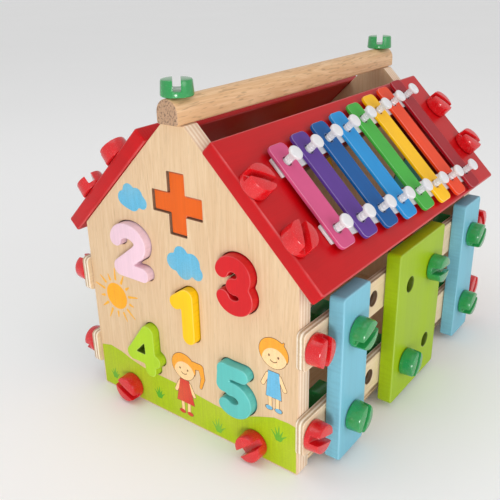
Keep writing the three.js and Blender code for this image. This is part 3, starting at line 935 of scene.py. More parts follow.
@dataclass(frozen=True)
class Plan:
    """The house's driving sizes, in millimetres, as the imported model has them."""

    half_gable: float = 80.0
    gable: float = 11.0
    face: float = 118.5
    apex: float = 8.0
    pitch: float = math.radians(44.7)
    eave_x: float = 95.0
    eave_z: float = 118.7
    roof: float = 9.5
    gap: float = 0.3
    rail: float = 5.0
    board: float = 9.5
    levels: Tuple[float, float] = (28.5, 83.5)
    blue: float = 84.5
    lime: float = 16.0
    spare: float = 46.0
    roof_bolts: Tuple[float, float] = (30.5, 65.4)
    foot: Tuple[float, float] = (50.5, 9.5)
    edge_shank: float = 3.2
    edge_bore: float = 3.9
    through_shank: float = 4.0
    through_bore: float = 4.9

    @property
    def bolt_y(self) -> float:
        """How far from the middle the bolts in the gables' edges are."""
        return self.face - self.gable / 2

    def gable_height(self, x: float) -> float:
        """How high a gable's sloping edge is at x."""
        under = self.eave_z - (self.roof + self.gap) / math.cos(self.pitch)
        return under + (self.eave_x - abs(x)) * math.tan(self.pitch)

    def gable_frame(self, end: int) -> Matrix:
        """A gable's frame, w = 0 on its inner face; end is -1 at the front and 1 at the back."""
        return basis((-end, 0, 0), (0, 0, 1), (0, end, 0), (0, end * (self.face - self.gable), 0))

    def side_frame(self, side: int) -> Matrix:
        """A side wall's frame, w from the middle of the house; side is 1 on the right."""
        return basis((0, side, 0), (0, 0, 1), (side, 0, 0), (0, 0, 0))

    def roof_frame(self, side: int) -> Matrix:
        """A roof board's frame, v up the slope from the eave and w = 0 on its outer face.

        Args:
            side: 1 on the right and -1 on the left.

        Returns:
            The frame.
        """
        cos, sin = math.cos(self.pitch), math.sin(self.pitch)
        eave = (side * self.eave_x, 0, self.eave_z)
        return basis((0, side, 0), (-side * cos, 0, sin), (side * sin, 0, cos), eave)


PLAN = Plan()
LEVELS = ("lower", "upper")

# Where each slot stopped as its bolt was tightened: degrees from level, in its own wall.
SLOTS = {
    "rail_lower_front": 160, "rail_upper_front": 79, "rail_lower_back": 60, "rail_upper_back": 120,
    "blue_front_lower": 63, "blue_front_upper": 19, "lime_lower": 65, "lime_upper": 174,
    "blue_back_lower": 30, "blue_back_upper": 40,
    "roof_lower_front": 56, "roof_upper_front": 144, "roof_lower_back": 130, "roof_upper_back": 124,
    "foot_left": 154, "foot_right": 42, "ridge_front": 133, "ridge_back": 117,
}


# ---------------------------------------------------------------- bolts and nuts


def bake(host: bpy.types.Object, name: str) -> bpy.types.Mesh:
    """Turns an object with its modifiers into a plain mesh and removes the object.

    Args:
        host: the object.
        name: the new mesh's name.

    Returns:
        The mesh.
    """
    bpy.context.view_layer.update()
    seen = host.evaluated_get(bpy.context.evaluated_depsgraph_get())
    mesh = bpy.data.meshes.new_from_object(seen)
    mesh.name = name
    host.modifiers.clear()
    bpy.data.objects.remove(host)
    return mesh


def host_of(name: str, mesh: bpy.types.Mesh) -> bpy.types.Object:
    """A passing object that carries a mesh through its modifiers.

    Args:
        name: the object's name.
        mesh: its mesh.

    Returns:
        The object.
    """
    host = bpy.data.objects.new(name, mesh)
    bpy.context.scene.collection.objects.link(host)
    return host


def new_tree(name: str, inputs: Sequence[Tuple[str, str]]
             ) -> Tuple[bpy.types.NodeTree, object, bpy.types.Node]:
    """An empty geometry tree with named inputs and one geometry output.

    Args:
        name: the tree's name.
        inputs: a name and a socket type for each input.

    Returns:
        The tree, its input sockets and its output node.
    """
    tree = bpy.data.node_groups.new(name, "GeometryNodeTree")
    tree.interface.new_socket("Geometry", in_out="OUTPUT", socket_type="NodeSocketGeometry")
    for label, kind in inputs:
        tree.interface.new_socket(label, in_out="INPUT", socket_type=kind)
    return tree, tree.nodes.new("NodeGroupInput").outputs, tree.nodes.new("NodeGroupOutput")


def grow(name: str, tree: bpy.types.NodeTree, values: Dict[str, object]) -> bpy.types.Mesh:
    """Runs a geometry tree.

    Args:
        name: the new mesh's name.
        tree: the tree.
        values: the tree's inputs by name; each is set by its socket's identifier.

    Returns:
        A plain mesh.
    """
    host = host_of(name, bpy.data.meshes.new(name))
    modifier = host.modifiers.new("grow", "NODES")
    modifier.node_group = tree
    sockets = {s.name: s.identifier for s in tree.interface.items_tree if s.in_out == "INPUT"}
    for label, value in values.items():
        modifier[sockets[label]] = value
    return bake(host, name)


@dataclass
class ToyBolt:
    """A big plastic bolt with a tapered, slotted head, and its hexagon nut."""

    radius: float = 9.0
    shoulder: float = 8.5
    rim: float = 7.7
    side: float = 8.1
    height: float = 9.2
    slot: float = 4.4
    slot_depth: float = 6.0
    nut: float = 12.0
    nut_height: float = 11.0
    pitch: float = 2.8
    thread: float = 0.55

    def head(self) -> bpy.types.Object:
        """The head alone, its seat at the origin: turned, slotted, then every edge eased.

        Returns:
            The head, as a passing object.
        """
        profile = [(0, 0), (self.radius - 0.7, 0), (self.radius - 0.15, 0.25), (self.radius, 0.9)]
        profile += [(self.radius + (self.shoulder - self.radius) * k / 3, 0.9 + (self.side - 1.1) * k / 3)
                    for k in (1, 2, 3)]
        lift = self.height - self.side
        profile += [(self.rim + 0.45, self.side + lift * 0.45), (self.rim - 0.2, self.height - 0.42)]
        profile += [(self.rim * k, self.height - 0.42 * k * k) for k in (0.8, 0.55, 0.28)]
        profile += [(0, self.height)]
        head = host_of("bolt head", mesh_of("bolt head", turned(profile, 56), Matrix.Identity(4)))
        reach, half = self.radius * 1.6, self.slot / 2
        low, high = self.height - self.slot_depth, self.height + 4
        outline = rounded([(-half, low), (half, low), (half, high), (-half, high)], 0.7, 3)
        groove = plate([outline], -reach, reach, 0.05, 1)
        turn = basis((0, 1, 0), (0, 0, 1), (1, 0, 0), (0, 0, 0))
        tool = host_of("slot tool", mesh_of("slot tool", groove, turn))
        cut = head.modifiers.new("slot", "BOOLEAN")
        cut.operation, cut.solver, cut.object = "DIFFERENCE", "EXACT", tool
        ease = head.modifiers.new("ease", "BEVEL")
        ease.width, ease.segments, ease.limit_method = 0.38 * MM, 2, "ANGLE"
        ease.angle_limit = math.radians(50)
        mesh = bake(head, "bolt head")
        bpy.data.objects.remove(tool)
        mesh.set_sharp_from_angle(angle=math.radians(40))
        return host_of("bolt head", mesh)

    def tree(self) -> bpy.types.NodeTree:
        """The geometry tree of a bolt: its head, a core and a thread wound round the core.

        Returns:
            The tree.
        """
        tree, given, out = new_tree("toy bolt", [
            ("Head", "NodeSocketObject"), ("Radius", "NodeSocketFloat"), ("Length", "NodeSocketFloat"),
            ("Pitch", "NodeSocketFloat"), ("Thread", "NodeSocketFloat"), ("Finish", "NodeSocketMaterial"),
        ])

        def add(kind: str, inputs: Dict, **settings: object) -> bpy.types.Node:
            """Adds a node to this tree."""
            return add_node(tree, kind, inputs, **settings)

        head = add("GeometryNodeObjectInfo", {"Object": given["Head"]})
        turns = add("ShaderNodeMath", {0: given["Length"], 1: given["Pitch"]}, operation="DIVIDE")
        spiral = add("GeometryNodeCurveSpiral", {
            "Resolution": 20, "Rotations": turns.outputs[0], "Start Radius": given["Radius"],
            "End Radius": given["Radius"], "Height": given["Length"]})
        ridge = add("GeometryNodeCurvePrimitiveCircle", {"Resolution": 6, "Radius": given["Thread"]})
        wound = add("GeometryNodeCurveToMesh", {0: spiral.outputs[0], 1: ridge.outputs[0], "Fill Caps": True})
        down = add("ShaderNodeMath", {0: given["Length"], 1: -1.0}, operation="MULTIPLY")
        drop = add("ShaderNodeCombineXYZ", {2: down.outputs[0]})
        low = add("GeometryNodeTransform", {"Geometry": wound.outputs[0], "Translation": drop.outputs[0]})
        core = add("GeometryNodeMeshCylinder", {
            "Vertices": 28, "Radius": given["Radius"], "Depth": given["Length"]})
        mid = add("ShaderNodeMath", {0: down.outputs[0], 1: 0.5}, operation="MULTIPLY")
        sink = add("ShaderNodeCombineXYZ", {2: mid.outputs[0]})
        stem = add("GeometryNodeTransform", {"Geometry": core.outputs[0], "Translation": sink.outputs[0]})
        both = tree.nodes.new("GeometryNodeJoinGeometry")
        for part in (stem.outputs[0], low.outputs[0], head.outputs["Geometry"]):
            tree.links.new(part, both.inputs[0])
        plain = add("GeometryNodeRealizeInstances", {0: both.outputs[0]})
        done = add("GeometryNodeSetMaterial", {0: plain.outputs[0], "Material": given["Finish"]})
        tree.links.new(done.outputs[0], out.inputs[0])
        return tree

    def nut_sheet(self) -> Sheet:
        """The nut, its near face at w = 0: a hexagon with soft corners and a round hole.

        Returns:
            The nut's sheet.
        """
        turns = [math.radians(a) for a in range(0, 360, 60)]
        corners = [(self.nut * math.cos(t), self.nut * math.sin(t)) for t in turns]
        return plate([rounded(corners, 1.4), hole(0, 0, 4.25)], -self.nut_height, 0, 1.0)


class BoltBox:
    """Makes every bolt and nut of the house from one head and one tree."""

    def __init__(self) -> None:
        """Makes the head and the tree, once."""
        self.shape = ToyBolt()
        self.head = self.shape.head()
        self.tree = self.shape.tree()
        self.kinds: Dict[Tuple[float, float, str], bpy.types.Mesh] = {}

    def blank(self, radius: float, length: float, finish: Palette) -> bpy.types.Mesh:
        """A bolt of one size and finish, seat at the origin.

        Args:
            radius: the shank's radius.
            length: the shank's length.
            finish: the finish.

        Returns:
            The mesh, shared by all bolts of that kind.
        """
        key = (radius, length, finish.name)
        if key not in self.kinds:
            self.kinds[key] = grow("bolt", self.tree, {
                "Head": self.head, "Radius": (radius - self.shape.thread) * MM, "Length": (length - 0.6) * MM,
                "Pitch": self.shape.pitch * MM, "Thread": self.shape.thread * MM, "Finish": dress(finish)})
        return self.kinds[key]

    def place(self, name: str, seat: Matrix, turn: float, radius: float, length: float, finish: Palette,
              slot: str, body: str, *nodes: str) -> None:
        """Adds a bolt.

        Args:
            name: the bolt's name.
            seat: the frame of its seat, in millimetres, w out of the head.
            turn: how far its slot is turned, in degrees.
            radius: its shank's radius.
            length: its shank's length.
            finish: its finish.
            slot: the record's material slot.
            body: the body it moves with.
            nodes: the nodes it stands for.
        """
        mesh = self.blank(radius, length, finish).copy()
        local = np.empty(len(mesh.vertices) * 3, np.float32)
        mesh.vertices.foreach_get("co", local)
        for label in ("grain", "side"):
            if label in mesh.attributes:
                mesh.attributes.remove(mesh.attributes[label])
        coords = mesh.attributes.new("grain", "FLOAT_VECTOR", "POINT")
        coords.data.foreach_set("vector", local + np.float32((sum(map(ord, name)) % 53) * 0.011))
        place = seat @ Matrix.Rotation(math.radians(turn), 4, "Z")
        place.translation *= MM
        mesh.transform(place)
        publish(name, mesh, finish, slot, body, *nodes)

    def nut(self, name: str, seat: Matrix, finish: Palette, slot: str, body: str) -> None:
        """Adds a nut whose near face is at the seat."""
        publish(name, mesh_of(name, self.shape.nut_sheet(), seat), finish, slot, body)

    def clear(self) -> None:
        """Removes the spare head."""
        bpy.data.objects.remove(self.head)


# ---------------------------------------------------------------- number pieces and gables


# Pen strokes of each piece about its own middle.
GLYPHS: Dict[str, List[List[Point]]] = {
    "1": [[(-6.4, 7.6), (0.5, 12.4)], [(2.3, 13), (2.3, -13.4)]],
    "2": [arc(-0.1, 5.6, 10.2, 7.4, 175, -34), [(8.4, 1.5), (-8.8, -11.6)], [(-8.8, -13), (10.4, -13)]],
    "3": [arc(-0.6, 6.3, 7.5, 6.6, 165, -90), arc(0, -6.5, 7.9, 6.4, 90, -165)],
    "4": [[(4.2, 13.3), (-9.7, -5.6)], [(-9.7, -5.6), (9.8, -5.6)], [(5.4, 13.3), (5.4, -13.3)]],
    "5": [[(6.3, 12.9), (-6.5, 12.9)], [(-6.5, 12.9), (-7.6, 2.6)], arc(-0.3, -5.6, 8.5, 7.3, 105, -135)],
    "6": [arc(0, -4.4, 9.4, 8.6, 0, 360), arc(4.4, -2.2, 13.8, 15.2, 180, 100)],
    "7": [[(-9.6, 13), (9.8, 13)], [(9.8, 13), (-1.6, -13.2)]],
    "8": [arc(0, 6.6, 8, 6.8, 0, 360), arc(0, -6.2, 9.6, 7.2, 0, 360)],
    "9": [arc(0, 4.4, 9.4, 8.6, 0, 360), arc(-4.4, 2.2, 13.8, 15.2, 0, -80)],
}


@dataclass(frozen=True)
class Piece:
    """A loose piece: its sign, where it sits on its gable, and its finish."""

    sign: str
    u: float
    v: float
    finish: Palette
    slot: str

    pen: ClassVar[float] = 4.7
    clearance: ClassVar[float] = 0.5

    def field(self, grow_by: float = 0.0, eye: bool = True) -> Field:
        """The piece's own field, in its gable's frame.

        Args:
            grow_by: how much wider to make it.
            eye: whether to cut out the 4's eye.

        Returns:
            The field.
        """
        if self.sign == "plus":
            arms = [polygon([(-a, -b), (a, -b), (a, b), (-a, b)]) for a, b in ((17.9, 5.8), (5.8, 17.9))]
            return moved(union(arms), self.u, self.v, grow_by)
        body = union([stroke(run, self.pen) for run in GLYPHS[self.sign]], 1.2)
        if self.sign == "4" and eye:
            body = without(body, [polygon([(-5.7, -2.8), (1.6, -2.8), (1.4, 4.7)])])
        return moved(body, self.u, self.v, grow_by)

    def outlines(self, grow_by: float = 0.0, eye: bool = True) -> List[Loop]:
        """The piece's outlines; the first is the outer one.

        Args:
            grow_by: how much wider to make it.
            eye: whether to cut out the 4's eye.

        Returns:
            The outlines.
        """
        reach = 24.0
        if self.sign == "plus":
            a, b, u, v = 17.9 + grow_by, 5.8 + grow_by, self.u, self.v
            corners = [(a, -b), (a, b), (b, b), (b, a), (-b, a), (-b, b), (-a, b), (-a, -b), (-b, -b),
                       (-b, -a), (b, -a), (b, -b)]
            return [plus_outline([(u + x, v + y) for x, y in corners])]
        low, high = (self.u - reach, self.v - reach), (self.u + reach, self.v + reach)
        loops = trace(self.field(grow_by, eye), low, high)
        return sorted(loops, key=lambda loop: -float(np.ptp(loop[:, 0]) * np.ptp(loop[:, 1])))


def plus_outline(corners: Sequence[Point]) -> Loop:
    """A twelve-cornered outline with each corner slightly eased, inward ones too.

    Args:
        corners: the corners in order.

    Returns:
        The outline.
    """
    points: List[np.ndarray] = []
    ring = [np.array(c, float) for c in corners]
    ease = 0.7
    for i, corner in enumerate(ring):
        before, after = ring[i - 1] - corner, ring[(i + 1) % len(ring)] - corner
        before, after = before / np.linalg.norm(before), after / np.linalg.norm(after)
        for t in (0.0, 0.25, 0.5, 0.75, 1.0):
            points.append(corner + ease * ((1 - t) ** 2 * before + t ** 2 * after))
    return np.array(points)


FRONT = (
    Piece("plus", -0.5, 146.6, Palette.ORANGE, "orange_paint"),
    Piece("1", 4.3, 80.6, Palette.YELLOW, "yellow_paint"),
    Piece("2", -38.4, 111, Palette.PINK, "pink_paint"),
    Piece("3", 41.6, 110.7, Palette.DIGIT_RED, "red_paint"),
    Piece("4", -33.6, 44.8, Palette.DIGIT_LIME, "lime_paint"),
    Piece("5", 38.7, 42.2, Palette.TURQUOISE, "turquoise_paint"),
)
BACK = (
    Piece("6", -36, 108, Palette.TURQUOISE, "turquoise_paint"),
    Piece("7", 36, 108, Palette.YELLOW, "yellow_paint"),
    Piece("8", -36, 46, Palette.ORANGE, "orange_paint"),
    Piece("9", 36, 46, Palette.DIGIT_LIME, "lime_paint"),
)


@dataclass
class Gables:
    """The two end walls, their loose pieces and the floor between them."""

    proud: float = 5.0
    flush: float = -1.2
    inset: float = 0.5

    def wall(self, name: str, end: int, pieces: Sequence[Piece]) -> None:
        """Makes one gable with its cut-outs.

        Args:
            name: the wall's node.
            end: -1 at the front and 1 at the back.
            pieces: the loose pieces in it.
        """
        half, plan = PLAN.half_gable, PLAN
        eave, top = plan.gable_height(half), plan.gable_height(plan.apex)
        corners = [(-half, 0), (half, 0), (half, eave), (plan.apex, top), (-plan.apex, top), (-half, eave)]
        loops = [rounded(corners, 0.9, 3)]
        loops += [piece.outlines(Piece.clearance, eye=False)[0][::-1] for piece in pieces]
        loops += [hole(side * plan.foot[0], plan.foot[1], plan.edge_bore, 28) for side in (-1, 1)]
        mesh = mesh_of(name, plate(loops, 0, plan.gable, 0.45, 2), plan.gable_frame(end), Grain.ALONG_V)
        publish(f"{name}_wall", mesh, Palette.GABLE, "wood", "house", name)

    def loose(self, end: int, pieces: Sequence[Piece]) -> None:
        """Makes the loose pieces of one gable.

        Args:
            end: -1 at the front and 1 at the back.
            pieces: the pieces.
        """
        for piece in pieces:
            front = PLAN.gable + (self.flush if piece.sign == "plus" else self.proud)
            shape = plate(piece.outlines(), self.inset, front, 0.7, 4)
            node = f"piece_{piece.sign}"
            mesh = mesh_of(node, shape, PLAN.gable_frame(end), Grain.ALONG_V)
            publish(f"number_{piece.sign}", mesh, piece.finish, piece.slot, node, node)

    def floor(self) -> None:
        """Makes the floor board."""
        low, high = (Vector(c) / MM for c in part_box("floor_board"))
        shape = plate([rectangle(high.x - low.x, high.y - low.y, 0.8)], low.z, high.z, 0.5, 2)
        mesh = mesh_of("floor_board", shape, Matrix.Identity(4), Grain.ALONG_V)
        publish("floor_panel", mesh, Palette.FLOOR, "wood", "house", "floor_board")

    def build(self) -> None:
        """Makes everything in order."""
        self.wall("gable_front", -1, FRONT)
        self.wall("gable_back", 1, BACK)
        self.loose(-1, FRONT)
        self.loose(1, BACK)
        self.floor()


# ---------------------------------------------------------------- side walls


@dataclass
class SideWalls:
    """Rails bolted to the gables, upright boards bolted to the rails."""

    bolts: BoltBox
    rail_length: float = 243.0
    rail_height: float = 23.0
    board_height: float = 105.0
    middle: float = 56.0
    shank: float = 21.0
    tail: float = 2.0

    def rail(self, wall: str, side: int, row: int) -> None:
        """Makes one rail with its eight holes.

        Args:
            wall: right or left.
            side: 1 on the right and -1 on the left.
            row: 0 for the lower rail and 1 for the upper.
        """
        level, plan = PLAN.levels[row], PLAN
        loops = [rectangle(self.rail_length, self.rail_height, 3.0, 0, level)]
        for end in (-1, 1):
            loops.append(hole(end * plan.bolt_y, level, plan.edge_bore))
            loops += [hole(end * u, level, plan.through_bore) for u in (plan.blue, plan.spare, plan.lime)]
        inner = plan.half_gable + plan.gap
        name = f"rail_{wall}_{LEVELS[row]}"
        mesh = mesh_of(name, plate(loops, inner, inner + plan.rail, 0.5), plan.side_frame(side))
        publish(f"{name}_strip", mesh, Palette.RAIL, "rail_wood", "house", name)

    def board(self, wall: str, side: int, kind: str, width: float, offset: float, spots: Sequence[float],
              node: str) -> None:
        """Makes one upright board with its holes.

        Args:
            wall: right or left.
            side: 1 on the right and -1 on the left.
            kind: the board's name.
            width: its width.
            offset: its middle, along the wall.
            spots: where its holes are, along the wall.
            node: the node it stands for.
        """
        plan = PLAN
        inner = plan.half_gable + plan.rail + 2 * plan.gap
        loops = [rectangle(width, self.board_height, 2.5, offset, self.middle)]
        loops += [hole(u, level, plan.through_bore) for u in spots for level in plan.levels]
        shape = plate(loops, inner, inner + plan.board, 1.0, 4)
        mesh = mesh_of(node, shape, plan.side_frame(side), Grain.ALONG_V)
        finish, slot = (Palette.LIME, "lime_paint") if kind == "lime" else (Palette.BLUE, "blue_paint")
        publish(f"upright_{wall}_{kind}", mesh, finish, slot, "house", node)

    def seat(self, side: int, u: float, level: float, w: float) -> Matrix:
        """The frame of a seat on a side wall."""
        return seat_at(PLAN.side_frame(side), (u, level, w))

    def rail_bolts(self, wall: str, side: int) -> None:
        """Puts a red bolt at each end of each rail.

        Args:
            wall: right or left.
            side: 1 on the right and -1 on the left.
        """
        plan = PLAN
        for row, level in enumerate(plan.levels):
            for end in (-1, 1):
                place = "front" if end * side < 0 else "back"
                node = f"bolt_rail_{wall}_{LEVELS[row]}_{place}"
                seat = self.seat(side, end * plan.bolt_y, level, plan.half_gable + plan.rail + 2 * plan.gap)
                turn = SLOTS[f"rail_{LEVELS[row]}_{place}"]
                self.bolts.place(f"{node}_screw", seat, turn, plan.edge_shank, self.shank, Palette.RED_BOLT,
                                 "red_plastic", node, node)

    def board_bolts(self, wall: str, side: int, kind: str, spots: Sequence[float]) -> None:
        """Puts a green bolt and its nut at each level of a board.

        Args:
            wall: right or left.
            side: 1 on the right and -1 on the left.
            kind: the board's name.
            spots: where its bolts are, lower one first.
        """
        plan = PLAN
        outer = plan.half_gable + plan.rail + plan.board + 3 * plan.gap
        grip = outer - plan.half_gable
        for row, (u, level) in enumerate(zip(spots, plan.levels)):
            base = f"bolt_board_{wall}_{kind}_{LEVELS[row]}"
            nodes = (base,) if side > 0 else ()
            body = base if side > 0 else "house"
            turn = SLOTS[f"{kind}_{LEVELS[row]}"]
            length = grip + self.bolts.shape.nut_height + self.tail
            seat = self.seat(side, u, level, outer)
            self.bolts.place(f"{base}_screw", seat, turn, plan.through_shank, length, Palette.GREEN_BOLT,
                             "green_plastic", body, *nodes)
            nut = self.seat(side, u, level, outer - grip) @ Matrix.Rotation(math.radians(turn), 4, "Z")
            self.bolts.nut(f"{base}_nut", nut, Palette.GREEN_BOLT, "green_plastic", body)

    def build(self) -> None:
        """Makes both walls."""
        for side, wall in ((1, "right"), (-1, "left")):
            for row in (0, 1):
                self.rail(wall, side, row)
            self.rail_bolts(wall, side)
            tail = "" if side > 0 else "_bolted"
            for kind, width, offset in (("blue_front", 29, -PLAN.blue), ("lime", 66, 0),
                                        ("blue_back", 29, PLAN.blue)):
                u = side * offset
                spots = [side * -PLAN.lime, side * PLAN.lime] if kind == "lime" else [u]
                self.board(wall, side, kind, width, u, spots, f"board_{wall}_{kind}{tail}")
                self.board_bolts(wall, side, kind, spots if kind == "lime" else [u, u])


# ---------------------------------------------------------------- roof and chime


@dataclass
class Roof:
    """Two red boards, and the chime on the right one."""

    bolts: BoltBox
    length: float = 240.0
    slope: float = 96.0
    bars: int = 8
    first: float = -83.0
    pitch: float = 23.0
    middle: float = 47.4
    width: float = 15.0
    short: float = 33.5
    long: float = 47.0
    pin_short: float = 22.2
    pin_long: float = 33.5
    strip_width: float = 12.0
    strip: float = 1.8
    overhang: float = 8.0
    bar: float = 2.2
    window: Tuple[float, float] = (-84.0, 56.0)
    window_margin: float = 1.5
    shank: float = 17.5
    pin_top: float = 12.8

    colours: ClassVar[Tuple] = (
        (204, 82, 128), (90, 54, 140), (4, 84, 150), (30, 140, 204), (66, 170, 60), (248, 190, 0),
        (230, 66, 20), (158, 10, 28))
    slots: ClassVar[Tuple[str, ...]] = (
        "pink_metal", "purple_metal", "blue_metal", "light_blue_metal", "green_metal", "yellow_metal",
        "orange_metal", "dark_red_metal")

    def pin_offset(self, u: float) -> float:
        """How far a bar's pins stand from the bars' middle line at u."""
        share = (u - self.first) / (self.pitch * (self.bars - 1))
        return self.pin_short + (self.pin_long - self.pin_short) * share

    def window_loop(self) -> Loop:
        """The opening under the bars.

        Returns:
            The opening's outline, its material outside.
        """
        a, b = self.window
        low, high = (self.pin_offset(u) - self.strip_width / 2 - self.window_margin for u in (a, b))
        corners = [(a, self.middle - low), (b, self.middle - high), (b, self.middle + high),
                   (a, self.middle + low)]
        return rounded(corners, 3.0)[::-1]

    def board(self, side: int, node: str, name: str) -> None:
        """Makes one roof board with its bolt holes.

        Args:
            side: 1 on the right and -1 on the left.
            node: the node it stands for.
            name: the piece's name.
        """
        loops = [rectangle(self.length, self.slope, 1.6, 0, self.slope / 2)]
        loops += [hole(end * PLAN.bolt_y, up, PLAN.edge_bore) for end in (-1, 1) for up in PLAN.roof_bolts]
        if side > 0:
            loops.append(self.window_loop())
        mesh = mesh_of(node, plate(loops, -PLAN.roof, 0, 1.3, 4), PLAN.roof_frame(side))
        publish(name, mesh, Palette.RED, "red_paint", "house", node)

    def board_bolts(self, side: int) -> None:
        """Puts four red bolts through a roof board.

        Args:
            side: 1 on the right and -1 on the left.
        """
        frame_ = PLAN.roof_frame(side)
        wall = "right" if side > 0 else "left"
        for end in (-1, 1):
            for i, up in enumerate(PLAN.roof_bolts):
                place = "front" if end * side < 0 else "back"
                base = f"bolt_roof_{wall}_{LEVELS[i]}_{place}"
                seat = seat_at(frame_, (end * PLAN.bolt_y, up, PLAN.gap))
                nodes = (base,) if side > 0 else ()
                turn = SLOTS[f"roof_{LEVELS[i]}_{place}"]
                self.bolts.place(f"{base}_screw", seat, turn, PLAN.edge_shank, self.shank, Palette.RED_BOLT,
                                 "red_plastic", base if side > 0 else "house", *nodes)

    def pin(self) -> bpy.types.Object:
        """One pin, standing on the roof board: a ribbed shank and a flat head.

        Returns:
            The pin, as a passing object.
        """
        profile: List[Point] = [(0, 1.0), (2.1, 1.0)]
        level = 2.9
        while level < 9.6:
            profile += [(1.85, level), (2.3, level + 0.35), (2.3, level + 0.85), (1.85, level + 1.2)]
            level += 1.7
        profile += [(2.1, 10.8), (3.9, 10.8), (4.3, 11.2), (4.3, 12.2), (4.0, 12.65), (3.4, self.pin_top),
                    (0, self.pin_top)]
        return host_of("pin", mesh_of("pin", turned(profile, 28), Matrix.Identity(4)))

    def pin_tree(self) -> bpy.types.NodeTree:
        """The geometry tree that stands a pin at each step of a straight row.

        Returns:
            The tree.
        """
        tree, given, out = new_tree("pin row", [
            ("Pin", "NodeSocketObject"), ("Count", "NodeSocketInt"), ("Start", "NodeSocketVector"),
            ("Step", "NodeSocketVector"), ("Finish", "NodeSocketMaterial")])
        row = tree.nodes.new("GeometryNodeMeshLine")
        row.mode = "OFFSET"
        copies = tree.nodes.new("GeometryNodeInstanceOnPoints")
        pin = tree.nodes.new("GeometryNodeObjectInfo")
        plain = tree.nodes.new("GeometryNodeRealizeInstances")
        done = tree.nodes.new("GeometryNodeSetMaterial")
        for start, end in (
            (given["Count"], row.inputs["Count"]), (given["Start"], row.inputs["Start Location"]),
            (given["Step"], row.inputs["Offset"]), (given["Pin"], pin.inputs["Object"]),
            (row.outputs[0], copies.inputs["Points"]), (pin.outputs["Geometry"], copies.inputs["Instance"]),
            (copies.outputs[0], plain.inputs[0]), (plain.outputs[0], done.inputs[0]),
            (given["Finish"], done.inputs["Material"]), (done.outputs[0], out.inputs[0]),
        ):
            tree.links.new(start, end)
        return tree

    def pins(self) -> None:
        """Makes both rest strips and their rows of pins."""
        frame_, pin, tree = PLAN.roof_frame(1), self.pin(), self.pin_tree()
        last = self.first + self.pitch * (self.bars - 1)
        ends = (self.first - self.overhang, last + self.overhang)
        for row, label in ((1, "upper"), (-1, "lower")):
            half = self.strip_width / 2
            at = [self.middle + row * self.pin_offset(u) for u in ends]
            corners = [(ends[0], at[0] - half), (ends[1], at[1] - half), (ends[1], at[1] + half),
                       (ends[0], at[0] + half)]
            shape = plate([rounded(corners, 0.8, 3)], PLAN.gap, PLAN.gap + self.strip, 0.35, 2)
            node = f"chime_pins_{label}"
            rest = mesh_of(node, shape, frame_)
            publish(f"chime_rest_{label}", rest, Palette.WHITE, "white_plastic", "house", node)
            step = (self.pin_long - self.pin_short) / (self.bars - 1) * row
            mesh = grow(f"pins_{label}", tree, {
                "Pin": pin, "Count": self.bars, "Finish": dress(Palette.WHITE),
                "Start": Vector((self.first, self.middle + row * self.pin_short, 0)) * MM,
                "Step": Vector((self.pitch, step, 0)) * MM})
            place = frame_.copy()
            place.translation *= MM
            mesh.transform(place)
            publish(f"chime_pegs_{label}", mesh, Palette.WHITE, "white_plastic", "house")
        bpy.data.objects.remove(pin)

    def bar_plate(self, i: int) -> None:
        """Makes one bar with its two holes.

        Args:
            i: the bar's number, from 0 at the front.
        """
        u = self.first + self.pitch * i
        half = self.short + (self.long - self.short) * i / (self.bars - 1)
        low = 2 * PLAN.gap + self.strip
        loops = [rectangle(self.width, 2 * half, 3.5, u, self.middle)]
        loops += [hole(u, self.middle + row * self.pin_offset(u), 3.0, 32) for row in (-1, 1)]
        node = f"chime_bar_{i + 1}"
        mesh = mesh_of(node, plate(loops, low, low + self.bar, 0.5), PLAN.roof_frame(1), Grain.ALONG_V)
        finish = Enamel(f"{self.slots[i].replace('_metal', '')} enamel", srgb(*self.colours[i]))
        publish(f"chime_note_{i + 1}", mesh, finish, self.slots[i], "house", node)

    def build(self) -> None:
        """Makes the roof from the boards up."""
        self.board(1, "roof_board_right", "roof_panel_right")
        self.board(-1, "roof_board_left_bolted", "roof_panel_left")
        self.board_bolts(1)
        self.board_bolts(-1)
        self.pins()
        for i in range(self.bars):
            self.bar_plate(i)


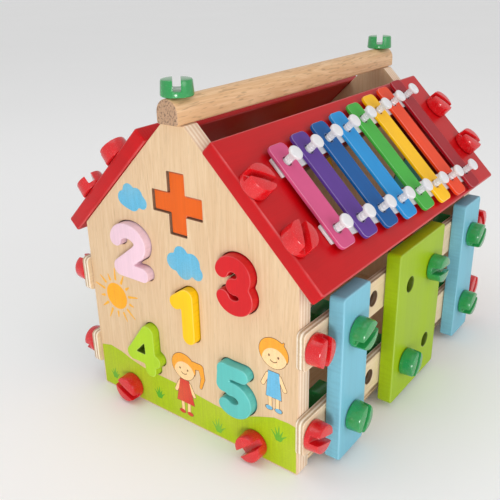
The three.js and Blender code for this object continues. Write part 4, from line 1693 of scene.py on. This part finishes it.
@dataclass
class Ridge:
    """The handle along the ridge, its two green bolts and the four red foot bolts."""

    bolts: BoltBox
    length: float = 244.0
    width: float = 15.0
    height: float = 13.6
    corner: float = 1.5
    shank: float = 27.0

    def handle(self) -> None:
        """Makes the handle: flat below and round above."""
        half, corner = self.width / 2, self.corner
        top = circle(0, self.height - half, half, 48)
        outline = [(half - corner + corner * math.cos(t), corner + corner * math.sin(t))
                   for t in np.linspace(-math.pi / 2, 0, 5)]
        outline += [tuple(p) for p in top[:25]]
        outline += [(corner - half + corner * math.cos(t), corner + corner * math.sin(t))
                    for t in np.linspace(math.pi, math.pi * 1.5, 5)]
        place = basis((1, 0, 0), (0, 0, 1), (0, -1, 0), (0, 0, self.bottom()))
        shape = plate([np.array(outline)], -self.length / 2, self.length / 2, 0.8)
        mesh = mesh_of("ridge_handle", shape, place, Grain.ALONG_W)
        publish("ridge_bar", mesh, Palette.HANDLE, "handle_wood", "house", "ridge_handle")

    def bottom(self) -> float:
        """The handle's underside."""
        return PLAN.gable_height(PLAN.apex) + PLAN.gap

    def build(self) -> None:
        """Makes the handle and its bolts."""
        self.handle()
        top = self.bottom() + self.height + PLAN.gap
        for end, place in ((-1, "front"), (1, "back")):
            node = f"bolt_ridge_{place}"
            seat = Matrix.Translation((0, end * PLAN.bolt_y, top))
            self.bolts.place(f"{node}_screw", seat, SLOTS[f"ridge_{place}"], PLAN.edge_shank, self.shank,
                             Palette.GREEN_BOLT, "green_plastic", node, node)
            frame_ = PLAN.gable_frame(end)
            for side in (-1, 1):
                wall = "right" if side * -end > 0 else "left"
                node = f"bolt_foot_{place}_{wall}"
                seat = seat_at(frame_, (side * PLAN.foot[0], PLAN.foot[1], PLAN.gable + PLAN.gap))
                self.bolts.place(f"{node}_screw", seat, SLOTS[f"foot_{wall}"], PLAN.edge_shank, self.shank,
                                 Palette.RED_BOLT, "red_plastic", node, node)


# ---------------------------------------------------------------- printed picture


class Hue(Enum):
    """The inks of the printed picture."""

    SUN = srgb(250, 166, 14)
    RAY = srgb(240, 172, 44)
    SKY = srgb(98, 178, 212)
    HILL = srgb(164, 188, 8)
    GRASS = srgb(84, 168, 36)
    HAIR = srgb(240, 160, 48)
    SKIN = srgb(250, 206, 154)
    RED = srgb(208, 50, 44)
    CLOTH = srgb(104, 178, 214)
    LINE = srgb(116, 74, 44)


@dataclass
class Picture:
    """The picture printed on the front gable, as thin films of ink over the wood."""

    film: float = 0.04
    margin: float = 0.9

    def print(self, name: str, body: Field, low: Point, high: Point, hue: Hue, layer: int,
              step: float = 0.35) -> None:
        """Prints one ink.

        Args:
            name: the film's name.
            body: the field of what is printed.
            low: the lowest corner of the area.
            high: its highest corner.
            hue: the ink.
            layer: how many films lie under it.
            step: how fine the outline is.
        """
        loops = trace(body, low, high, step)
        outer = [loop for loop in loops if signed_area(loop) > 0.3]
        holes = [loop for loop in loops if signed_area(loop) < -0.3]
        sheet = Sheet()
        bottom = PLAN.gable + 0.01 + 0.03 * layer
        for loop in outer:
            mine = [h for h in holes if within(loop, h[0])]
            patch = plate([loop] + mine, bottom, bottom + self.film, 0.005, 1)
            shift = len(sheet.points)
            sheet.points += patch.points
            sheet.side += patch.side
            sheet.bore += patch.bore
            sheet.faces += [tuple(i + shift for i in face) for face in patch.faces]
            sheet.sharp += [(a + shift, b + shift) for a, b in patch.sharp]
        mesh = mesh_of(name, sheet, PLAN.gable_frame(-1))
        publish(name, mesh, Ink(f"{name} ink", hue.value), "wood", "house")

    def sky(self) -> None:
        """Prints the sun and two clouds."""
        u, v, radius = -58.6, 73.4, 9.2
        sun = disc(u, v, radius, radius * 0.98)
        self.print("print_sun", sun, (u - 12, v - 12), (u + 12, v + 12), Hue.SUN, 0)
        rays = []
        for i in range(14):
            turn = math.radians(12 + 360 / 14 * i)
            start, end = 11.6 + 0.5 * (i % 2), (19.5, 15.2, 17.8)[i % 3]
            ends = [(u + r * math.cos(turn), v + r * math.sin(turn)) for r in (start, end)]
            rays.append(stroke(ends, 0.95, 0.35))
        self.print("print_rays", union(rays), (u - 22, v - 22), (u + 22, v + 22), Hue.RAY, 0, 0.25)
        small = [disc(-38.2, 147.6, 4.8), disc(-43.0, 142.6, 4.6), disc(-31.6, 146.2, 4.6),
                 disc(-36.0, 141.8, 6.0), disc(-28.0, 142.4, 4.0), disc(-40, 141, 4.2)]
        large = [disc(0.2, 117.0, 5.2), disc(-5.6, 111.4, 5.4), disc(8.4, 113.8, 5.8),
                 disc(2.0, 108.4, 6.4), disc(11.6, 108.2, 4.4)]
        loose = [piece.field(self.margin, eye=False) for piece in FRONT]
        clouds = without(union(small + large, 1.5), loose)
        self.print("print_clouds", clouds, (-52, 98), (20, 156), Hue.SKY, 0)

    def hill(self) -> None:
        """Prints the hill along the foot of the wall and its tufts of grass."""
        xs = (-84, -70, -60, -50, -40, -25, -10, 5, 20, 32, 44, 54, 64, 74, 84)
        tops = (29.5, 33.0, 31.6, 28.6, 26.6, 26.2, 25.8, 24.4, 23.0, 22.8, 25.0, 29.4, 33.2, 33.6, 32.0)

        def ground(x: np.ndarray, y: np.ndarray) -> np.ndarray:
            """Above the hill's line, or outside the wall.

            Args:
                x: the places across.
                y: the places upwards.

            Returns:
                The distance at each place, below zero inside.
            """
            curve = np.interp(x, xs, tops)
            return np.maximum(np.maximum((y - curve) * 0.9, np.abs(x) - 79.0), 0.9 - y)

        holes = [piece.field(self.margin, eye=False) for piece in FRONT[1:]]
        holes += [disc(side * PLAN.foot[0], PLAN.foot[1], 4.6) for side in (-1, 1)]
        self.print("print_hill", without(ground, holes), (-82, -1), (82, 38), Hue.HILL, 0, 0.5)
        blades = []
        for u, v, size in ((-69, 8, 0.9), (-27, 9, 1.0), (22.5, 4.5, 1.2), (67, 19, 1.2)):
            for lean, tall in ((-4.2, 4.5), (-1.8, 6.6), (0.4, 8.0), (2.6, 5.8), (4.6, 3.8)):
                path = [(u + lean * 0.25, v), (u + lean * 0.55 * size, v + tall * 0.55 * size),
                        (u + lean * size, v + tall * size)]
                blades.append(stroke(path, 0.95, 0.2))
        self.print("print_grass", without(union(blades), holes), (-78, 2), (76, 34), Hue.GRASS, 1, 0.3)

    def child(self, name: str, u: float, v: float, tail: bool, outfit: Hue) -> None:
        """Prints a plain standing child, its feet at (u, v).

        Args:
            name: the child's name.
            u: the middle of the feet.
            v: the ground under them.
            tail: whether the hair is tied in a tail.
            outfit: the ink of the clothes.
        """
        def at(*points: Point) -> List[Point]:
            """Points moved to the child's place."""
            return [(u + x, v + y) for x, y in points]

        def spot(x: float, y: float, a: float, b: Optional[float] = None) -> Field:
            """A disc at the child's place."""
            return disc(u + x, v + y, a, b)

        area = ((u - 18, v - 3), (u + 20, v + 54))
        tall = 1.0 if tail else 1.06
        head = spot(0, 35.0 * tall, 8.6, 8.2)
        limbs = [stroke(at((-2.4, 3), (-2.6, 11)), 1.15), stroke(at((2.4, 3), (2.6, 11)), 1.15),
                 stroke(at((-4.0, 24), (-7.4, 17)), 1.2), stroke(at((4.0, 24), (7.4, 17)), 1.2)]
        skirt = 7.2 if tail else 5.2
        dress_ = polygon(at((-skirt, 9.5), (skirt, 9.5), (3.6, 26.5), (-3.6, 26.5)))
        hair = [without(spot(0, 36.4 * tall, 9.6, 9.0), [spot(0.6, 31.4 * tall, 8.3, 8.2)])]
        if tail:
            hair += [stroke(at((8.6, 40), (14.0, 40.5), (15.4, 33), (13.4, 26)), 2.6, 0.9)]
        else:
            hair += [stroke(at((x, 43.2), (x + 1.6, 46.6)), 1.3, 0.4) for x in (-5, -1.6, 1.8, 5)]
        shoes = [spot(-3.2, 2.0, 2.3, 1.4), spot(3.2, 2.0, 2.3, 1.4)]
        every = [head, *limbs, dress_, *hair, *shoes]
        loose = [piece.field(self.margin, eye=False) for piece in FRONT[1:]]

        def clear(body: Field) -> Field:
            """The field kept off the cut-outs."""
            return without(body, loose)

        outline = clear(lambda x, y: union(every)(x, y) - 0.3)
        self.print(f"print_{name}_line", outline, *area, Hue.LINE, 2, 0.25)
        self.print(f"print_{name}_skin", clear(union([head, *limbs])), *area, Hue.SKIN, 3, 0.25)
        self.print(f"print_{name}_clothes", clear(union([dress_, *shoes])), *area, outfit, 4, 0.25)
        self.print(f"print_{name}_hair", clear(union(hair)), *area, Hue.HAIR, 4, 0.25)
        face = [spot(-3.0, 34.4 * tall, 0.62, 0.8), spot(3.2, 34.4 * tall, 0.62, 0.8),
                stroke([(u + x, v + y) for x, y in arc(0.1, 32.4 * tall, 2.3, 1.6, 205, 335, 8)], 0.26)]
        self.print(f"print_{name}_face", union(face), *area, Hue.LINE, 5, 0.15)

    def build(self) -> None:
        """Prints the whole picture."""
        self.sky()
        self.hill()
        self.child("girl", -3.6, 5.0, True, Hue.RED)
        self.child("boy", 64.0, 37.0, False, Hue.CLOTH)


def signed_area(loop: Loop) -> float:
    """A loop's area, above zero where it runs counter-clockwise."""
    ahead = np.roll(loop, -1, 0)
    return float(np.sum(loop[:, 0] * ahead[:, 1] - ahead[:, 0] * loop[:, 1]) / 2)


def within(loop: Loop, point: np.ndarray) -> bool:
    """Whether a point lies inside a loop.

    Args:
        loop: the loop.
        point: the point.

    Returns:
        Whether it does.
    """
    a, b = loop, np.roll(loop, -1, 0)
    crosses = (a[:, 1] > point[1]) != (b[:, 1] > point[1])
    x = a[:, 0] + (point[1] - a[:, 1]) * (b[:, 0] - a[:, 0]) / (b[:, 1] - a[:, 1] + 1e-12)
    return bool(np.sum(crosses & (x > point[0])) % 2)


# ---------------------------------------------------------------- studio


@dataclass
class Studio:
    """The camera, the lights and the floor."""

    eye: Tuple[float, float, float] = (0.24151, -0.36794, 0.26947)
    azimuth: float = 37.58
    elevation: float = 23.56
    roll: float = -1.22
    lens: float = 48.1

    def camera(self) -> None:
        """Makes the camera."""
        data = bpy.data.cameras.new("camera")
        data.lens, data.clip_start = self.lens, 0.01
        camera = bpy.data.objects.new("camera", data)
        bpy.context.scene.collection.objects.link(camera)
        bpy.context.scene.camera = camera
        az, el = math.radians(self.azimuth), math.radians(self.elevation)
        back = Vector((math.sin(az) * math.cos(el), -math.cos(az) * math.cos(el), math.sin(el)))
        level = back.to_track_quat("Z", "Y").to_matrix().to_4x4()
        roll = Matrix.Rotation(math.radians(self.roll), 4, "Z")
        camera.matrix_world = Matrix.Translation(self.eye) @ level @ roll

    def softbox(self, name: str, at: Sequence[float], size: float, power: float) -> None:
        """Makes a square softbox that looks at the middle of the house.

        Args:
            name: the light's name.
            at: its place, in metres.
            size: its side, in metres.
            power: its power, in watts.
        """
        data = bpy.data.lights.new(name, "AREA")
        data.energy, data.size = power, size
        lamp = bpy.data.objects.new(name, data)
        bpy.context.scene.collection.objects.link(lamp)
        lamp.location = at
        lamp.rotation_euler = (Vector(at) - Vector((0, 0, 0.09))).to_track_quat("Z", "Y").to_euler()

    def floor(self) -> None:
        """Makes a pale floor disc under everything."""
        sheet = plate([circle(0, 0, 9000, 96)], -6.0, -0.2, 0.5, 1)
        mesh = mesh_of("floor", sheet, Matrix.Identity(4))
        g = Graph("floor paper")
        cloud = g.noise(g.grain((3.0, 3.0, 3.0)), 1.0, 2.0)
        colour = g.mix(cloud, (0.93, 0.93, 0.93), (0.96, 0.96, 0.96))
        mesh.materials.append(g.finish(colour, 0.7))
        floor = bpy.data.objects.new("floor", mesh)
        bpy.context.scene.collection.objects.link(floor)

    def build(self) -> None:
        """Sets up the studio."""
        scene = bpy.context.scene
        scene.view_settings.view_transform = "Standard"
        world = bpy.data.worlds.new("studio") if scene.world is None else scene.world
        scene.world = world
        world.use_nodes = True
        world.node_tree.nodes["Background"].inputs[0].default_value = (1.0, 1.0, 1.0, 1.0)
        world.node_tree.nodes["Background"].inputs[1].default_value = 0.72
        self.camera()
        self.softbox("key", (0.46, -0.80, 0.10), 0.22, 3.1)
        self.softbox("side fill", (0.95, 0.0, 0.45), 0.5, 1.7)
        self.softbox("top", (-0.3, -0.2, 1.1), 0.8, 1.8)
        self.floor()


def main() -> None:
    """Builds the house piece by piece."""
    logging.basicConfig(level=logging.INFO, format="%(message)s")
    Studio().build()
    bolts = BoltBox()
    Gables().build()
    SideWalls(bolts).build()
    Roof(bolts).build()
    Ridge(bolts).build()
    bolts.clear()
    Picture().build()
    bpy.context.view_layer.update()


if __name__ == "__main__":
    main()
